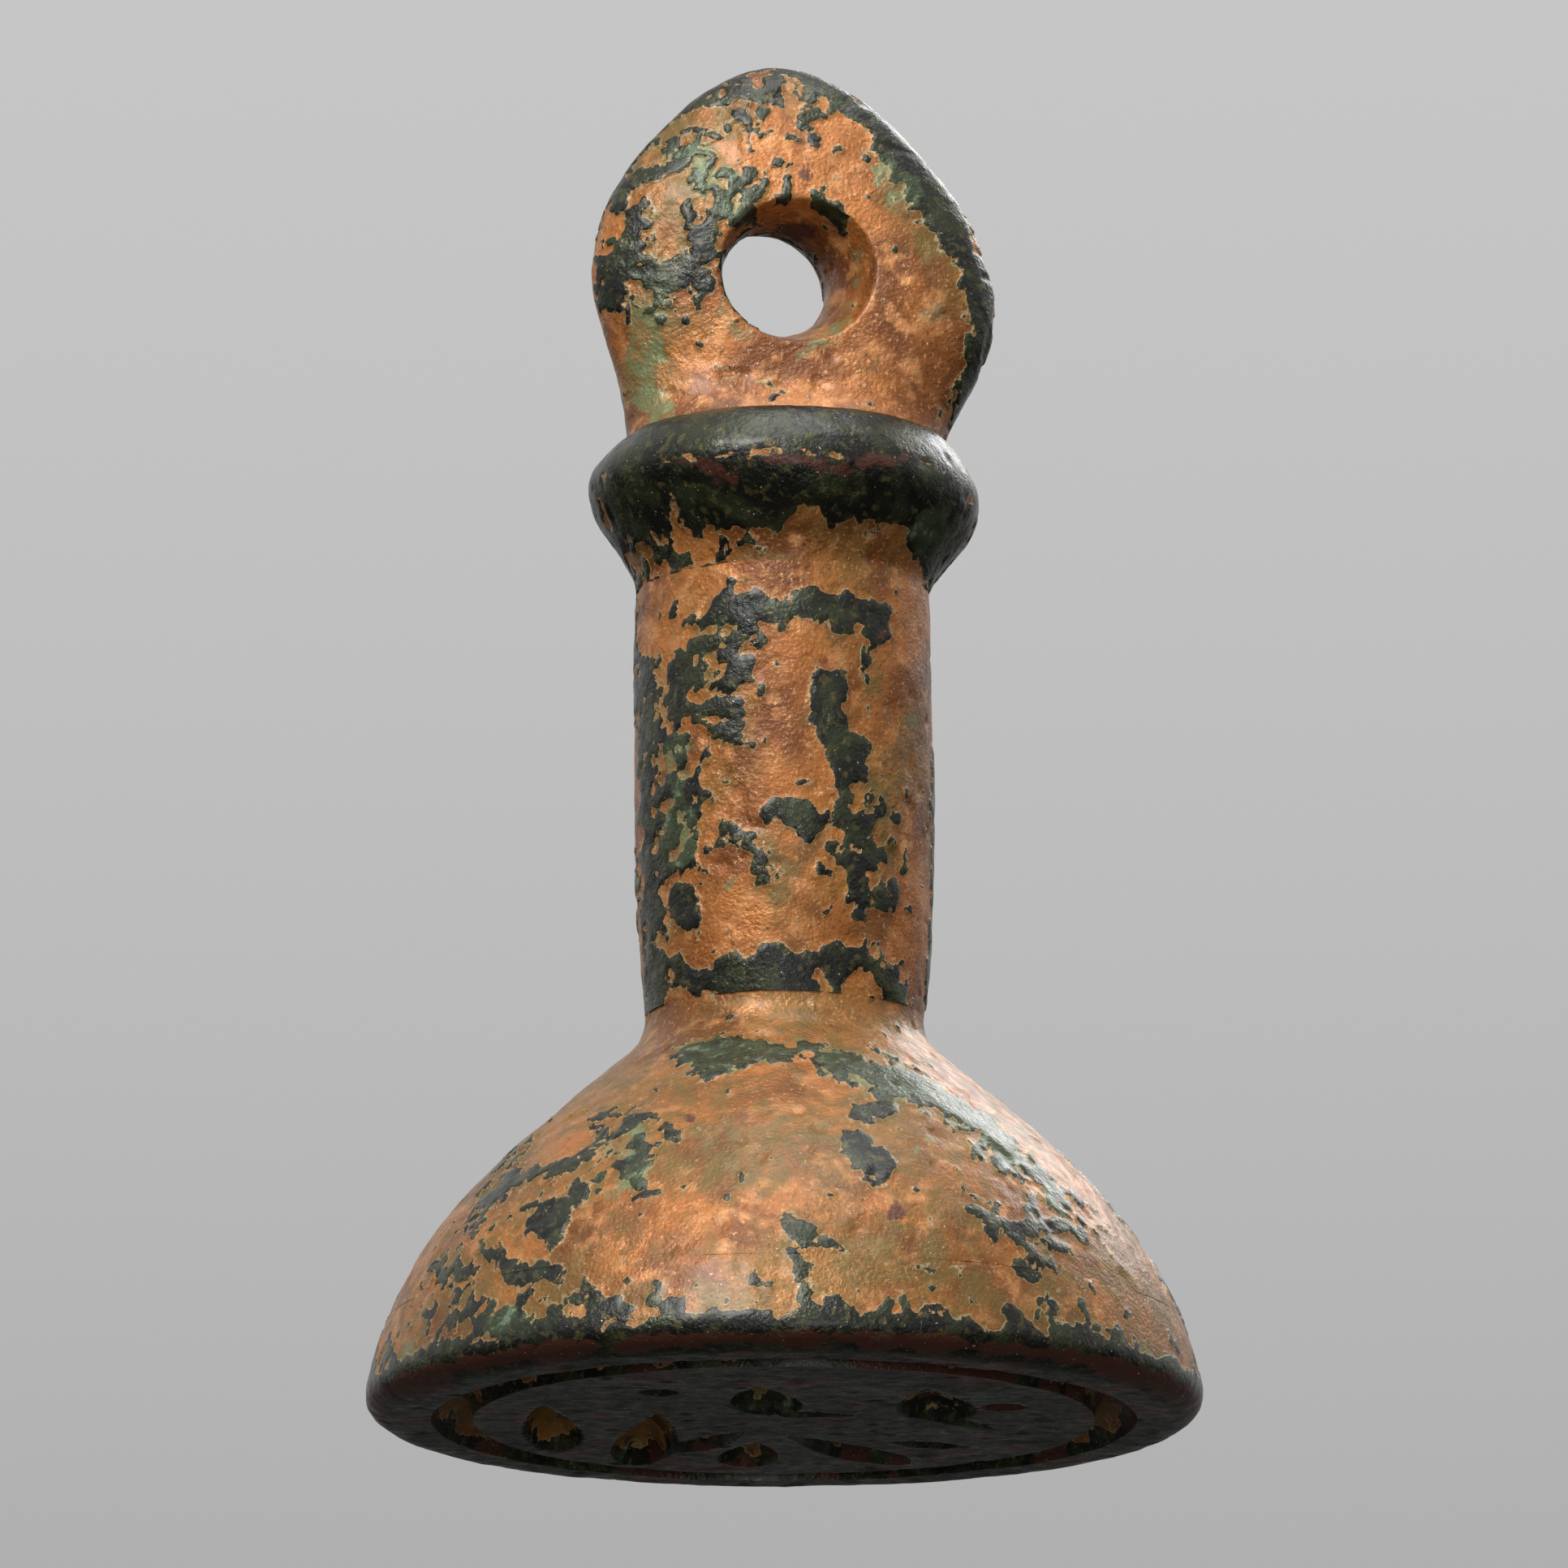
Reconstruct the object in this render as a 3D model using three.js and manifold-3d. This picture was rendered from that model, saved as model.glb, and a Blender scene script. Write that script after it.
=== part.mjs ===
// A cast bronze stamp seal: an engraved round face under a dome, a round stalk, a ring collar and a
// pierced lug for a cord. Millimetres, +Z up. The origin is the middle of the sealing face, which rests
// on Z = 0, and the cord hole runs along Y. The whole seal is one casting. Its sections are the pieces
// that a founder would join in wax: each is a solid of its own, and each stands on the one below it.

import * as THREE from "three";
import { mergeVertices, toCreasedNormals } from "three/addons/utils/BufferGeometryUtils.js";
import Module from "manifold-3d";

// Sealing face: a thick round plate with a rounded rim
const HEAD_RADIUS = 13.34; // just above the rim, where the head is widest
const RIM_ROUND = 1.1; // rounding between the face and the side of the head
const RIM_LAND = 0.95; // flat ring between the rounding and the border groove
const PLATE_HEIGHT = 3.0;

// Border groove round the engraved field
const GROOVE_WIDTH = 1.35;
const GROOVE_DEPTH = 0.9;

// Dome on the face plate. Its side leans in a little from the rim and turns over into a straight slope,
// and each handle says how far that side or slope pulls on the curve between them.
const DOME_HEIGHT = 10.1; // from the plate up to the stalk
const FLANK_LEAN = 12; // degrees from upright
const FLANK_HANDLE = 5.1;
const SLOPE_ANGLE = 41.5; // degrees from level
const SLOPE_HANDLE = 4.4;
const NECK_FILLET = 0.75; // reach of the hollow curve between the slope and the stalk

// Stalk, gripped between finger and thumb
const STALK_LENGTH = 14.1;
const STALK_FOOT_RADIUS = 4.52;
const STALK_SWELL_RADIUS = 4.84; // a little over half way up
const STALK_HEAD_RADIUS = 4.72;

// Collar
const COLLAR_HEIGHT = 5.0;
const COLLAR_RADIUS = 6.33; // at its edge
const COLLAR_EDGE_HEIGHT = 3.2; // from the foot of the collar up to its edge
const COLLAR_FLARE = 30; // degrees that its underside leans out where it leaves the stalk
const COLLAR_SEAT_RADIUS = 5.2; // flat top that the lug stands on
const COLLAR_TILT = 2.7; // degrees, with the right side of the edge lower

// Pierced lug. Left and right are as seen along +Y, and heights are from the foot of the lug.
const LUG_HEIGHT = 12.8;
const LUG_FOOT_MARGIN = 0.05; // inside the collar's seat
const LUG_LEFT_REACH = 6.3;
const LUG_LEFT_HEIGHT = 5.7; // of the widest place on the left
const LUG_LEFT_WAIST = 2.4; // how high the left side stays upright above the foot
const LUG_RIGHT_REACH = 6.83;
const LUG_RIGHT_HEIGHT = 4.4;
const LUG_RIGHT_WAIST = 0.8;
const LUG_CROWN_SHIFT = -0.3; // sideways place of the highest point
const LUG_THICKNESS = 4.8;
const LUG_FOOT_THICKNESS = 7.2;
const LUG_SQUARENESS = 2.7; // 2 makes an oval section, and more makes it flatter on its faces

// Cord hole, drilled a little askew from both faces and worn wider at its mouths
const HOLE_RADIUS = 1.9; // at its waist
const HOLE_WEAR = 0.6; // how much wider the mouths are
const HOLE_HEIGHT = 5.45; // above the foot of the lug
const HOLE_SHIFT = -0.4; // sideways from the stalk's axis
const HOLE_YAW = 14; // degrees

// Engraved device: chip-cut strokes in a loose whorl, and drilled dots. Places are shares of the field's
// radius, seen through the seal from above. A stroke runs from a blunt head to a pointed tail.
const STROKES = [
  { head: [-0.04, -0.12], tail: [-0.09, -0.64], width: 2.3, depth: 1.05 },
  { head: [-0.02, -0.12], tail: [0.23, -0.12], width: 0.9, depth: 0.4 },
  { head: [0.51, -0.03], tail: [0.45, -0.6], width: 2.4, depth: 1.05 },
  { head: [0.43, -0.14], tail: [0.68, 0.13], width: 0.9, depth: 0.45 },
  { head: [-0.74, 0.52], tail: [-0.77, -0.3], width: 1.8, depth: 1.3 },
  { head: [-0.48, 0.81], tail: [-0.4, -0.15], width: 2.0, depth: 1.35 },
  { head: [-0.36, 0.58], tail: [-0.13, 0.18], width: 1.6, depth: 0.9 },
  { head: [-0.13, 0.84], tail: [-0.09, 0.4], width: 1.9, depth: 1.0 },
  { head: [0.39, 0.81], tail: [0.01, 0.26], width: 2.0, depth: 1.1 },
  { head: [0.56, 0.47], tail: [0.34, 0.38], width: 1.2, depth: 0.7 },
];
const DRILLED_DOTS = [
  { at: [0.7, -0.26], radius: 0.65, depth: 0.55 },
  { at: [-0.4, -0.52], radius: 0.6, depth: 0.45 },
];

// Facets
const TURNED_STEPS = 64; // round the axis
const ROUNDING_STEPS = 5; // along a rounding, a fillet or a groove
const FLANK_STEPS = 14; // along a long curve
const LUG_STEPS = 44; // round the lug
const LUG_RINGS = 24;
const HOLE_STEPS = 32;
const CUTTER_STEPS = 12;
const CREASE = THREE.MathUtils.degToRad(38);

const plateTop = PLATE_HEIGHT;
const domeTop = plateTop + DOME_HEIGHT;
const stalkTop = domeTop + STALK_LENGTH;
const collarTop = stalkTop + COLLAR_HEIGHT;
const landRadius = HEAD_RADIUS - RIM_ROUND; // outer edge of the flat rim
const fieldRadius = landRadius - RIM_LAND - GROOVE_WIDTH;

const wasm = await Module();
wasm.setup();

// Solids for cutting, and back to a geometry
function solidFrom(geometry) {
  const bare = geometry.clone().deleteAttribute("normal").deleteAttribute("uv");
  const merged = mergeVertices(bare, 1e-4);
  return new wasm.Manifold(
    new wasm.Mesh({
      numProp: 3,
      vertProperties: merged.attributes.position.array,
      triVerts: new Uint32Array(merged.index.array),
    }),
  );
}

function geometryFrom(solid) {
  const mesh = solid.getMesh();
  const geometry = new THREE.BufferGeometry();
  geometry.setAttribute("position", new THREE.BufferAttribute(mesh.vertProperties, 3));
  geometry.setIndex(new THREE.BufferAttribute(mesh.triVerts, 1));
  return toCreasedNormals(geometry, CREASE);
}

// A turned solid from an outline of (radius, height) points that starts and ends on the axis
function turned(outline, steps = TURNED_STEPS) {
  return new THREE.LatheGeometry(outline, steps).rotateX(Math.PI / 2);
}

// Outline of the head from the face up to the stalk, for both the plate and the dome
function headOutline() {
  const lean = THREE.MathUtils.degToRad(90 + FLANK_LEAN);
  const slope = THREE.MathUtils.degToRad(SLOPE_ANGLE);
  const downSlope = new THREE.Vector2(Math.cos(slope), -Math.sin(slope));
  const upFlank = new THREE.Vector2(Math.cos(lean), Math.sin(lean));
  const side = new THREE.Vector2(HEAD_RADIUS, RIM_ROUND);
  const neck = new THREE.Vector2(STALK_FOOT_RADIUS, domeTop - NECK_FILLET);
  const foot = downSlope.clone().multiplyScalar(NECK_FILLET).add(neck);
  const rim = new THREE.QuadraticBezierCurve(
    new THREE.Vector2(landRadius, 0),
    upFlank.clone().multiplyScalar(-RIM_ROUND).add(side),
    side,
  );
  const flank = new THREE.CubicBezierCurve(
    side,
    upFlank.clone().multiplyScalar(FLANK_HANDLE).add(side),
    downSlope.clone().multiplyScalar(SLOPE_HANDLE).add(foot),
    foot,
  );
  const fillet = new THREE.QuadraticBezierCurve(foot, neck, new THREE.Vector2(neck.x, domeTop));
  return [
    ...rim.getPoints(ROUNDING_STEPS),
    ...flank.getPoints(FLANK_STEPS).slice(1),
    ...fillet.getPoints(ROUNDING_STEPS).slice(1),
  ];
}

// The stretch of an outline between two heights, with new points at both ends
function stretchBetween(outline, low, high) {
  const radiusAt = (height) => {
    const i = outline.findIndex((p, k) => k > 0 && p.y >= height);
    const [a, b] = [outline[i - 1], outline[i]];
    return THREE.MathUtils.mapLinear(height, a.y, b.y, a.x, b.x);
  };
  const least = 0.02;
  const inside = outline.filter((p) => p.y > low + least && p.y < high - least);
  return [new THREE.Vector2(radiusAt(low), low), ...inside, new THREE.Vector2(radiusAt(high), high)];
}

// A chip-cut stroke: a teardrop spindle, blunt at its head and pointed at its tail, half sunk in the face
function strokeCutter({ head, tail, width, depth }) {
  const from = new THREE.Vector2(...head).multiplyScalar(fieldRadius);
  const along = new THREE.Vector2(...tail).multiplyScalar(fieldRadius).sub(from);
  const outline = [];
  for (let i = 0; i <= CUTTER_STEPS; i++) {
    const t = i / CUTTER_STEPS;
    const fatness = (3 * Math.sqrt(3 * t) * (1 - t)) / 2; // 1 at its fattest, a third of the way along
    outline.push(new THREE.Vector2(i === 0 || i === CUTTER_STEPS ? 0 : fatness, t * along.length()));
  }
  return new THREE.LatheGeometry(outline, CUTTER_STEPS)
    .scale(width / 2, 1, depth)
    .rotateZ(along.angle() - Math.PI / 2)
    .translate(from.x, from.y, 0);
}

// A drilled dot: the rounded end of a drill
function dotCutter({ at, radius, depth }) {
  return new THREE.SphereGeometry(radius, CUTTER_STEPS, CUTTER_STEPS / 2)
    .rotateX(Math.PI / 2)
    .scale(1, 1, depth / radius)
    .translate(at[0] * fieldRadius, at[1] * fieldRadius, 0);
}

// The face plate, with its border groove in the turned outline and the device cut into it
function sealingFace() {
  const groove = new THREE.EllipseCurve(
    fieldRadius + GROOVE_WIDTH / 2,
    0,
    GROOVE_WIDTH / 2,
    GROOVE_DEPTH,
    Math.PI,
    0,
    true,
  );
  const outline = [
    new THREE.Vector2(0, 0),
    ...groove.getPoints(2 * ROUNDING_STEPS),
    ...stretchBetween(headOutline(), 0, plateTop),
    new THREE.Vector2(0, plateTop),
  ];
  const cutters = [...STROKES.map(strokeCutter), ...DRILLED_DOTS.map(dotCutter)];
  return cutters.reduce((solid, cutter) => solid.subtract(solidFrom(cutter)), solidFrom(turned(outline)));
}

function dome() {
  const side = stretchBetween(headOutline(), plateTop, domeTop);
  return turned([new THREE.Vector2(0, plateTop), ...side, new THREE.Vector2(0, domeTop)]);
}

// The stalk swells gently, as a rolled rod does
function stalk() {
  const side = new THREE.SplineCurve([
    new THREE.Vector2(STALK_FOOT_RADIUS, domeTop),
    new THREE.Vector2(STALK_SWELL_RADIUS, domeTop + STALK_LENGTH * 0.57),
    new THREE.Vector2(STALK_HEAD_RADIUS, stalkTop),
  ]);
  return turned([
    new THREE.Vector2(0, domeTop),
    ...side.getPoints(FLANK_STEPS),
    new THREE.Vector2(0, stalkTop),
  ]);
}

// A ring with a long flaring underside and a short rounded top. Its edge is tilted, and its two flat ends
// stay level.
function collar() {
  const edge = stalkTop + COLLAR_EDGE_HEIGHT;
  const over = COLLAR_HEIGHT - COLLAR_EDGE_HEIGHT;
  const flare = Math.tan(THREE.MathUtils.degToRad(COLLAR_FLARE));
  const underside = new THREE.CubicBezierCurve(
    new THREE.Vector2(STALK_HEAD_RADIUS, stalkTop),
    new THREE.Vector2(STALK_HEAD_RADIUS + (COLLAR_EDGE_HEIGHT * flare) / 3, stalkTop + COLLAR_EDGE_HEIGHT / 3),
    new THREE.Vector2(COLLAR_RADIUS, edge - COLLAR_EDGE_HEIGHT / 3),
    new THREE.Vector2(COLLAR_RADIUS, edge),
  );
  const top = new THREE.CubicBezierCurve(
    new THREE.Vector2(COLLAR_RADIUS, edge),
    new THREE.Vector2(COLLAR_RADIUS, edge + over * 0.4),
    new THREE.Vector2(COLLAR_SEAT_RADIUS + (COLLAR_RADIUS - COLLAR_SEAT_RADIUS) * 0.4, collarTop - over / 4),
    new THREE.Vector2(COLLAR_SEAT_RADIUS, collarTop),
  );
  const geometry = turned([
    new THREE.Vector2(0, stalkTop),
    ...underside.getPoints(FLANK_STEPS),
    ...top.getPoints(2 * ROUNDING_STEPS).slice(1),
    new THREE.Vector2(0, collarTop),
  ]);
  const place = geometry.attributes.position;
  const drop = Math.tan(THREE.MathUtils.degToRad(COLLAR_TILT));
  for (let i = 0; i < place.count; i++) {
    const share = (place.getZ(i) - stalkTop) / COLLAR_HEIGHT;
    place.setZ(i, place.getZ(i) - place.getX(i) * drop * Math.sin(Math.PI * share));
  }
  return geometry;
}

// One side of the lug from its foot to its crown, as (reach, height)
function lugSide(reach, height, waist, crown) {
  const foot = COLLAR_SEAT_RADIUS - LUG_FOOT_MARGIN;
  const path = new THREE.CurvePath();
  path.add(
    new THREE.CubicBezierCurve(
      new THREE.Vector2(foot, 0),
      new THREE.Vector2(foot, waist),
      new THREE.Vector2(reach, (waist + height) / 2),
      new THREE.Vector2(reach, height),
    ),
  );
  path.add(
    new THREE.CubicBezierCurve(
      new THREE.Vector2(reach, height),
      new THREE.Vector2(reach, height + (LUG_HEIGHT - height) * 0.48),
      new THREE.Vector2(crown + reach * 0.36, LUG_HEIGHT),
      new THREE.Vector2(crown, LUG_HEIGHT),
    ),
  );
  return path;
}

// Half the lug's thickness from its foot to its crown, as (half thickness, height)
function lugFlank() {
  const path = new THREE.CurvePath();
  const level = HOLE_HEIGHT - HOLE_RADIUS - HOLE_WEAR;
  path.add(
    new THREE.CubicBezierCurve(
      new THREE.Vector2(LUG_FOOT_THICKNESS / 2, 0),
      new THREE.Vector2(LUG_THICKNESS / 2, level * 0.2),
      new THREE.Vector2(LUG_THICKNESS / 2, level * 0.6),
      new THREE.Vector2(LUG_THICKNESS / 2, level),
    ),
  );
  path.add(
    new THREE.CubicBezierCurve(
      new THREE.Vector2(LUG_THICKNESS / 2, level),
      new THREE.Vector2(LUG_THICKNESS / 2, level + (LUG_HEIGHT - level) * 0.55),
      new THREE.Vector2(LUG_THICKNESS * 0.32, LUG_HEIGHT),
      new THREE.Vector2(0, LUG_HEIGHT),
    ),
  );
  return path;
}

// Where a curve that only rises reaches a height
function acrossAt(curve, height) {
  let [low, high] = [0, 1];
  for (let i = 0; i < 40; i++) {
    const middle = (low + high) / 2;
    if (curve.getPoint(middle).y < height) low = middle;
    else high = middle;
  }
  return curve.getPoint((low + high) / 2).x;
}

// The lug is lofted through level rings that close on its crown
function lugBlank() {
  const left = lugSide(LUG_LEFT_REACH, LUG_LEFT_HEIGHT, LUG_LEFT_WAIST, -LUG_CROWN_SHIFT);
  const right = lugSide(LUG_RIGHT_REACH, LUG_RIGHT_HEIGHT, LUG_RIGHT_WAIST, LUG_CROWN_SHIFT);
  const flank = lugFlank();
  const around = LUG_STEPS;
  const points = [0, 0, collarTop];
  for (let ring = 0; ring < LUG_RINGS; ring++) {
    const height = LUG_HEIGHT * Math.sin(((ring / LUG_RINGS) * Math.PI) / 2);
    const [west, east] = [-acrossAt(left, height), acrossAt(right, height)];
    const depth = acrossAt(flank, height);
    for (let i = 0; i < around; i++) {
      const angle = (i / around) * 2 * Math.PI;
      const bulge = (value) => Math.sign(value) * Math.abs(value) ** (2 / LUG_SQUARENESS);
      points.push(
        (east + west) / 2 + ((east - west) / 2) * bulge(Math.cos(angle)),
        depth * bulge(Math.sin(angle)),
        collarTop + height,
      );
    }
  }
  points.push(LUG_CROWN_SHIFT, 0, collarTop + LUG_HEIGHT);
  const crown = points.length / 3 - 1;
  const faces = [];
  const corner = (ring, i) => 1 + ring * around + (i % around);
  for (let i = 0; i < around; i++) {
    faces.push(0, corner(0, i + 1), corner(0, i));
    for (let ring = 0; ring < LUG_RINGS - 1; ring++) {
      faces.push(corner(ring, i), corner(ring, i + 1), corner(ring + 1, i + 1));
      faces.push(corner(ring, i), corner(ring + 1, i + 1), corner(ring + 1, i));
    }
    faces.push(corner(LUG_RINGS - 1, i), corner(LUG_RINGS - 1, i + 1), crown);
  }
  const geometry = new THREE.BufferGeometry();
  geometry.setAttribute("position", new THREE.Float32BufferAttribute(points, 3));
  geometry.setIndex(faces);
  return geometry;
}

// The hole narrows towards its waist on a smooth hourglass curve
function holeCutter() {
  const mouth = LUG_THICKNESS / 2;
  const reach = LUG_FOOT_THICKNESS;
  const flare = Math.sqrt((HOLE_RADIUS + HOLE_WEAR) ** 2 - HOLE_RADIUS ** 2) / mouth;
  const outline = [new THREE.Vector2(0, -reach)];
  for (let i = 0; i <= CUTTER_STEPS; i++) {
    const y = reach * (i / (CUTTER_STEPS / 2) - 1);
    outline.push(new THREE.Vector2(Math.hypot(HOLE_RADIUS, flare * y), y));
  }
  outline.push(new THREE.Vector2(0, reach));
  return new THREE.LatheGeometry(outline, HOLE_STEPS)
    .rotateZ(THREE.MathUtils.degToRad(HOLE_YAW))
    .translate(HOLE_SHIFT, 0, collarTop + HOLE_HEIGHT);
}

function suspensionLug() {
  return solidFrom(lugBlank()).subtract(solidFrom(holeCutter()));
}

// Bronze under an earthy orange film, and the darker smooth patina on the collar and the face
const earthyBronze = { color: 0xa8673a, roughness: 0.55, metalness: 0.25 };
const darkPatina = { color: 0x2e3029, roughness: 0.45, metalness: 0.3 };

function section(name, geometry, finish) {
  const mesh = new THREE.Mesh(geometry, new THREE.MeshStandardMaterial(finish));
  mesh.name = name;
  return mesh;
}

const seal = new THREE.Group();
seal.add(
  section("sealing_face", geometryFrom(sealingFace()), darkPatina),
  section("dome", dome(), earthyBronze),
  section("stalk", stalk(), earthyBronze),
  section("collar", collar(), darkPatina),
  section("suspension_lug", geometryFrom(suspensionLug()), earthyBronze),
);

export default seal;
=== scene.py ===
# %% [markdown]
# # A bronze stamp seal in fine skins
# The real seal is one small casting: a domed head with a cut face under it, a round stalk, a ring collar
# and a flat lug pierced for a cord. The imported model holds its five sections at their real size. Here each
# section gets a skin of the same form with far more points, so that the unevenness of the casting and the
# raised edges of its burial crust are real geometry. A texture alone could fake both, but it would be lost
# at the outline and in the mesh that is kept.

# %% Load the model and its sections
import math
import bpy
import numpy as np
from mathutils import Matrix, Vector


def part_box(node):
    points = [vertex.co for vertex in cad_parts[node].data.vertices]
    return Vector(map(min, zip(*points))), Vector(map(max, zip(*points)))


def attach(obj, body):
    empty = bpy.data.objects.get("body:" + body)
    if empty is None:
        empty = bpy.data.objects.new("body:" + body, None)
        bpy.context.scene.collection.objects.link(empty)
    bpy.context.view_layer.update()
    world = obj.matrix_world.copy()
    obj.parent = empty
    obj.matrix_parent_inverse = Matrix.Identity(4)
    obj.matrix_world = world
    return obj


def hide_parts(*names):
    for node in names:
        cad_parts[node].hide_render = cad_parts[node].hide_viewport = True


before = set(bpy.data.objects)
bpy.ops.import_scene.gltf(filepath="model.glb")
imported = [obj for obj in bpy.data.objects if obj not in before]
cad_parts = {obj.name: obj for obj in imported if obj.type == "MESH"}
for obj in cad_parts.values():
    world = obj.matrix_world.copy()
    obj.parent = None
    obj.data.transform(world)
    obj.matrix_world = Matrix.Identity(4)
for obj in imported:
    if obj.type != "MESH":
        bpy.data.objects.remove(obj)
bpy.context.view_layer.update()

MM = 0.001

# %% [markdown]
# ## Where each section ends
# The sections stand on each other on level planes. Their heights are read from the imported model, so the
# skins meet on the same planes as the solids that they stand for.

# %% Heights of the sections in millimetres
def top_of(node):
    """The height of a section's upper plane."""
    return round(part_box(node)[1][2] / MM, 3)


PLATE_TOP = top_of("sealing_face")
DOME_TOP = top_of("dome")
STALK_TOP = top_of("stalk")
COLLAR_TOP = top_of("collar")
LUG_TOP = top_of("suspension_lug")
print("planes at", PLATE_TOP, DOME_TOP, STALK_TOP, COLLAR_TOP, LUG_TOP)

# %% [markdown]
# ## The camera
# A long lens about 36 cm away looks up at the seal from a little below its face. These values were fitted to
# the seal's outline. The same values later tell which part of the photograph shows a point of the surface.

# %% Place the camera
PHOTO_SIZE = 1932
FOCAL_PIXELS = 14060
SENSOR = 36.0
CAMERA_BACK = 360.0
CAMERA_DROP = 63.5
CAMERA_TILT = math.radians(13.196)


def add_camera():
    """The photograph's view, with its lens length worked out from the fitted focal length in pixels."""
    lens = bpy.data.cameras.new("photo_view")
    lens.sensor_width = SENSOR
    lens.lens = SENSOR * FOCAL_PIXELS / PHOTO_SIZE
    lens.clip_start = 0.01
    lens.clip_end = 20
    eye = bpy.data.objects.new("photo_view", lens)
    eye.location = (0, -CAMERA_BACK * MM, -CAMERA_DROP * MM)
    eye.rotation_euler = (math.pi / 2 + CAMERA_TILT, 0, 0)
    bpy.context.scene.collection.objects.link(eye)
    bpy.context.scene.camera = eye
    return lens.lens


print("lens of", round(add_camera(), 1), "mm")

# %% [markdown]
# ## Lines to turn
# A founder turns or rolls the wax, so the head, stalk and collar are bodies of revolution. Each is drawn as
# half an outline, as radius and height, from a few curves. The curves are cut at the section's planes and
# then divided into even steps, because even steps take an uneven skin without stretching.

# %% Curve helpers
GRID = 0.135


def bezier(points, count):
    """Points along a Bezier curve of any degree, its ends included."""
    share = np.linspace(0, 1, count)[:, None]
    levels = [np.repeat(np.array([point], float), count, axis=0) for point in points]
    while len(levels) > 1:
        levels = [first * (1 - share) + second * share for first, second in zip(levels, levels[1:])]
    return levels[0]


def evenly(line, gap=GRID):
    """The same line with its points a set gap apart and its ends kept."""
    lengths = np.hypot(*np.diff(line, axis=0).T)
    along = np.concatenate([[0], np.cumsum(lengths)])
    places = np.linspace(0, along[-1], max(2, math.ceil(along[-1] / gap) + 1))
    return np.stack([np.interp(places, along, line[:, axis]) for axis in range(2)], 1)


def between(line, low, high):
    """The stretch of a rising line from one height to another, its ends included."""
    inner = line[(line[:, 1] > low) & (line[:, 1] < high)]
    ends = [(np.interp(level, line[:, 1], line[:, 0]), level) for level in (low, high)]
    return np.concatenate([[ends[0]], inner, [ends[1]]])


# %% [markdown]
# ## The outline of the head
# The rim is rounded from use, the flank leans in a little, and the back runs up in one long curve to a small
# fillet at the neck. The same line serves the plate and the dome, so no step shows between them. It could
# be drawn by hand in an editor, but named sizes are easier to check and to change.

# %% Draw the head
HEAD_RADIUS = 13.34
RIM_ROUND = 1.1
FLANK_LEAN = math.radians(12)
FLANK_HANDLE = 5.1
SLOPE_ANGLE = math.radians(41.5)
SLOPE_HANDLE = 4.4
NECK_RADIUS = 4.52
NECK_FILLET = 0.75
LAND_RADIUS = HEAD_RADIUS - RIM_ROUND


def head_outline():
    """The head's outer wall from the rim up to the neck."""
    lean = math.pi / 2 + FLANK_LEAN
    up_flank = np.array([math.cos(lean), math.sin(lean)])
    down_slope = np.array([math.cos(SLOPE_ANGLE), -math.sin(SLOPE_ANGLE)])
    side = np.array([HEAD_RADIUS, RIM_ROUND])
    neck = np.array([NECK_RADIUS, DOME_TOP - NECK_FILLET])
    foot = neck + NECK_FILLET * down_slope
    rim = bezier([(LAND_RADIUS, 0), side - RIM_ROUND * up_flank, side], 60)
    flank = bezier([side, side + FLANK_HANDLE * up_flank, foot + SLOPE_HANDLE * down_slope, foot], 300)
    fillet = bezier([foot, neck, (NECK_RADIUS, DOME_TOP)], 40)
    return np.concatenate([rim, flank[1:], fillet[1:]])


head = head_outline()
print("head is", round(2 * head[:, 0].max(), 2), "mm across")

# %% [markdown]
# ## The stalk and the collar
# The stalk swells slightly half way up, as a rolled rod of wax does. The collar flares from it to a blunt
# edge and closes in above to a seat for the lug.

# %% Draw the stalk and the collar
STALK_SWELL_RADIUS = 4.84
STALK_SWELL_SHARE = 0.57
STALK_HEAD_RADIUS = 4.72
COLLAR_RADIUS = 6.33
COLLAR_EDGE_HEIGHT = 3.2
COLLAR_SEAT_RADIUS = 5.2
COLLAR_TILT = math.radians(2.7)
SHOULDER_RISE = 0.4
SHOULDER_OVERHANG = 0.4
SHOULDER_DROP = 0.25


def stalk_outline():
    """The grip's wall, a smooth line through its foot, its swelling and its head."""
    heights = [DOME_TOP, DOME_TOP + STALK_SWELL_SHARE * (STALK_TOP - DOME_TOP), STALK_TOP]
    curve = np.polyfit(heights, [NECK_RADIUS, STALK_SWELL_RADIUS, STALK_HEAD_RADIUS], 2)
    levels = np.linspace(DOME_TOP, STALK_TOP, 100)
    return np.stack([np.polyval(curve, levels), levels], 1)


def collar_outline():
    """The ring's wall: a flare, a blunt edge and a round shoulder."""
    edge = STALK_TOP + COLLAR_EDGE_HEIGHT
    third = COLLAR_EDGE_HEIGHT / 3
    flare = bezier([
        (STALK_HEAD_RADIUS, STALK_TOP),
        (STALK_HEAD_RADIUS, STALK_TOP + third),
        (COLLAR_RADIUS, edge - third),
        (COLLAR_RADIUS, edge),
    ], 80)
    overhang = COLLAR_RADIUS - COLLAR_SEAT_RADIUS
    rise = COLLAR_TOP - edge
    shoulder = bezier([
        (COLLAR_RADIUS, edge),
        (COLLAR_RADIUS, edge + SHOULDER_RISE * rise),
        (COLLAR_SEAT_RADIUS + SHOULDER_OVERHANG * overhang, COLLAR_TOP - SHOULDER_DROP * rise),
        (COLLAR_SEAT_RADIUS, COLLAR_TOP),
    ], 60)
    return np.concatenate([flare, shoulder[1:]])


print("stalk line has", len(stalk_outline()), "points")

# %% [markdown]
# ## From a line to a closed body
# A turned body is a stack of rings, closed by one point below and one above. Writing the rings out as an
# array is quicker than spinning a mesh, and it gives the direction of the surface at each point for free.

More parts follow.
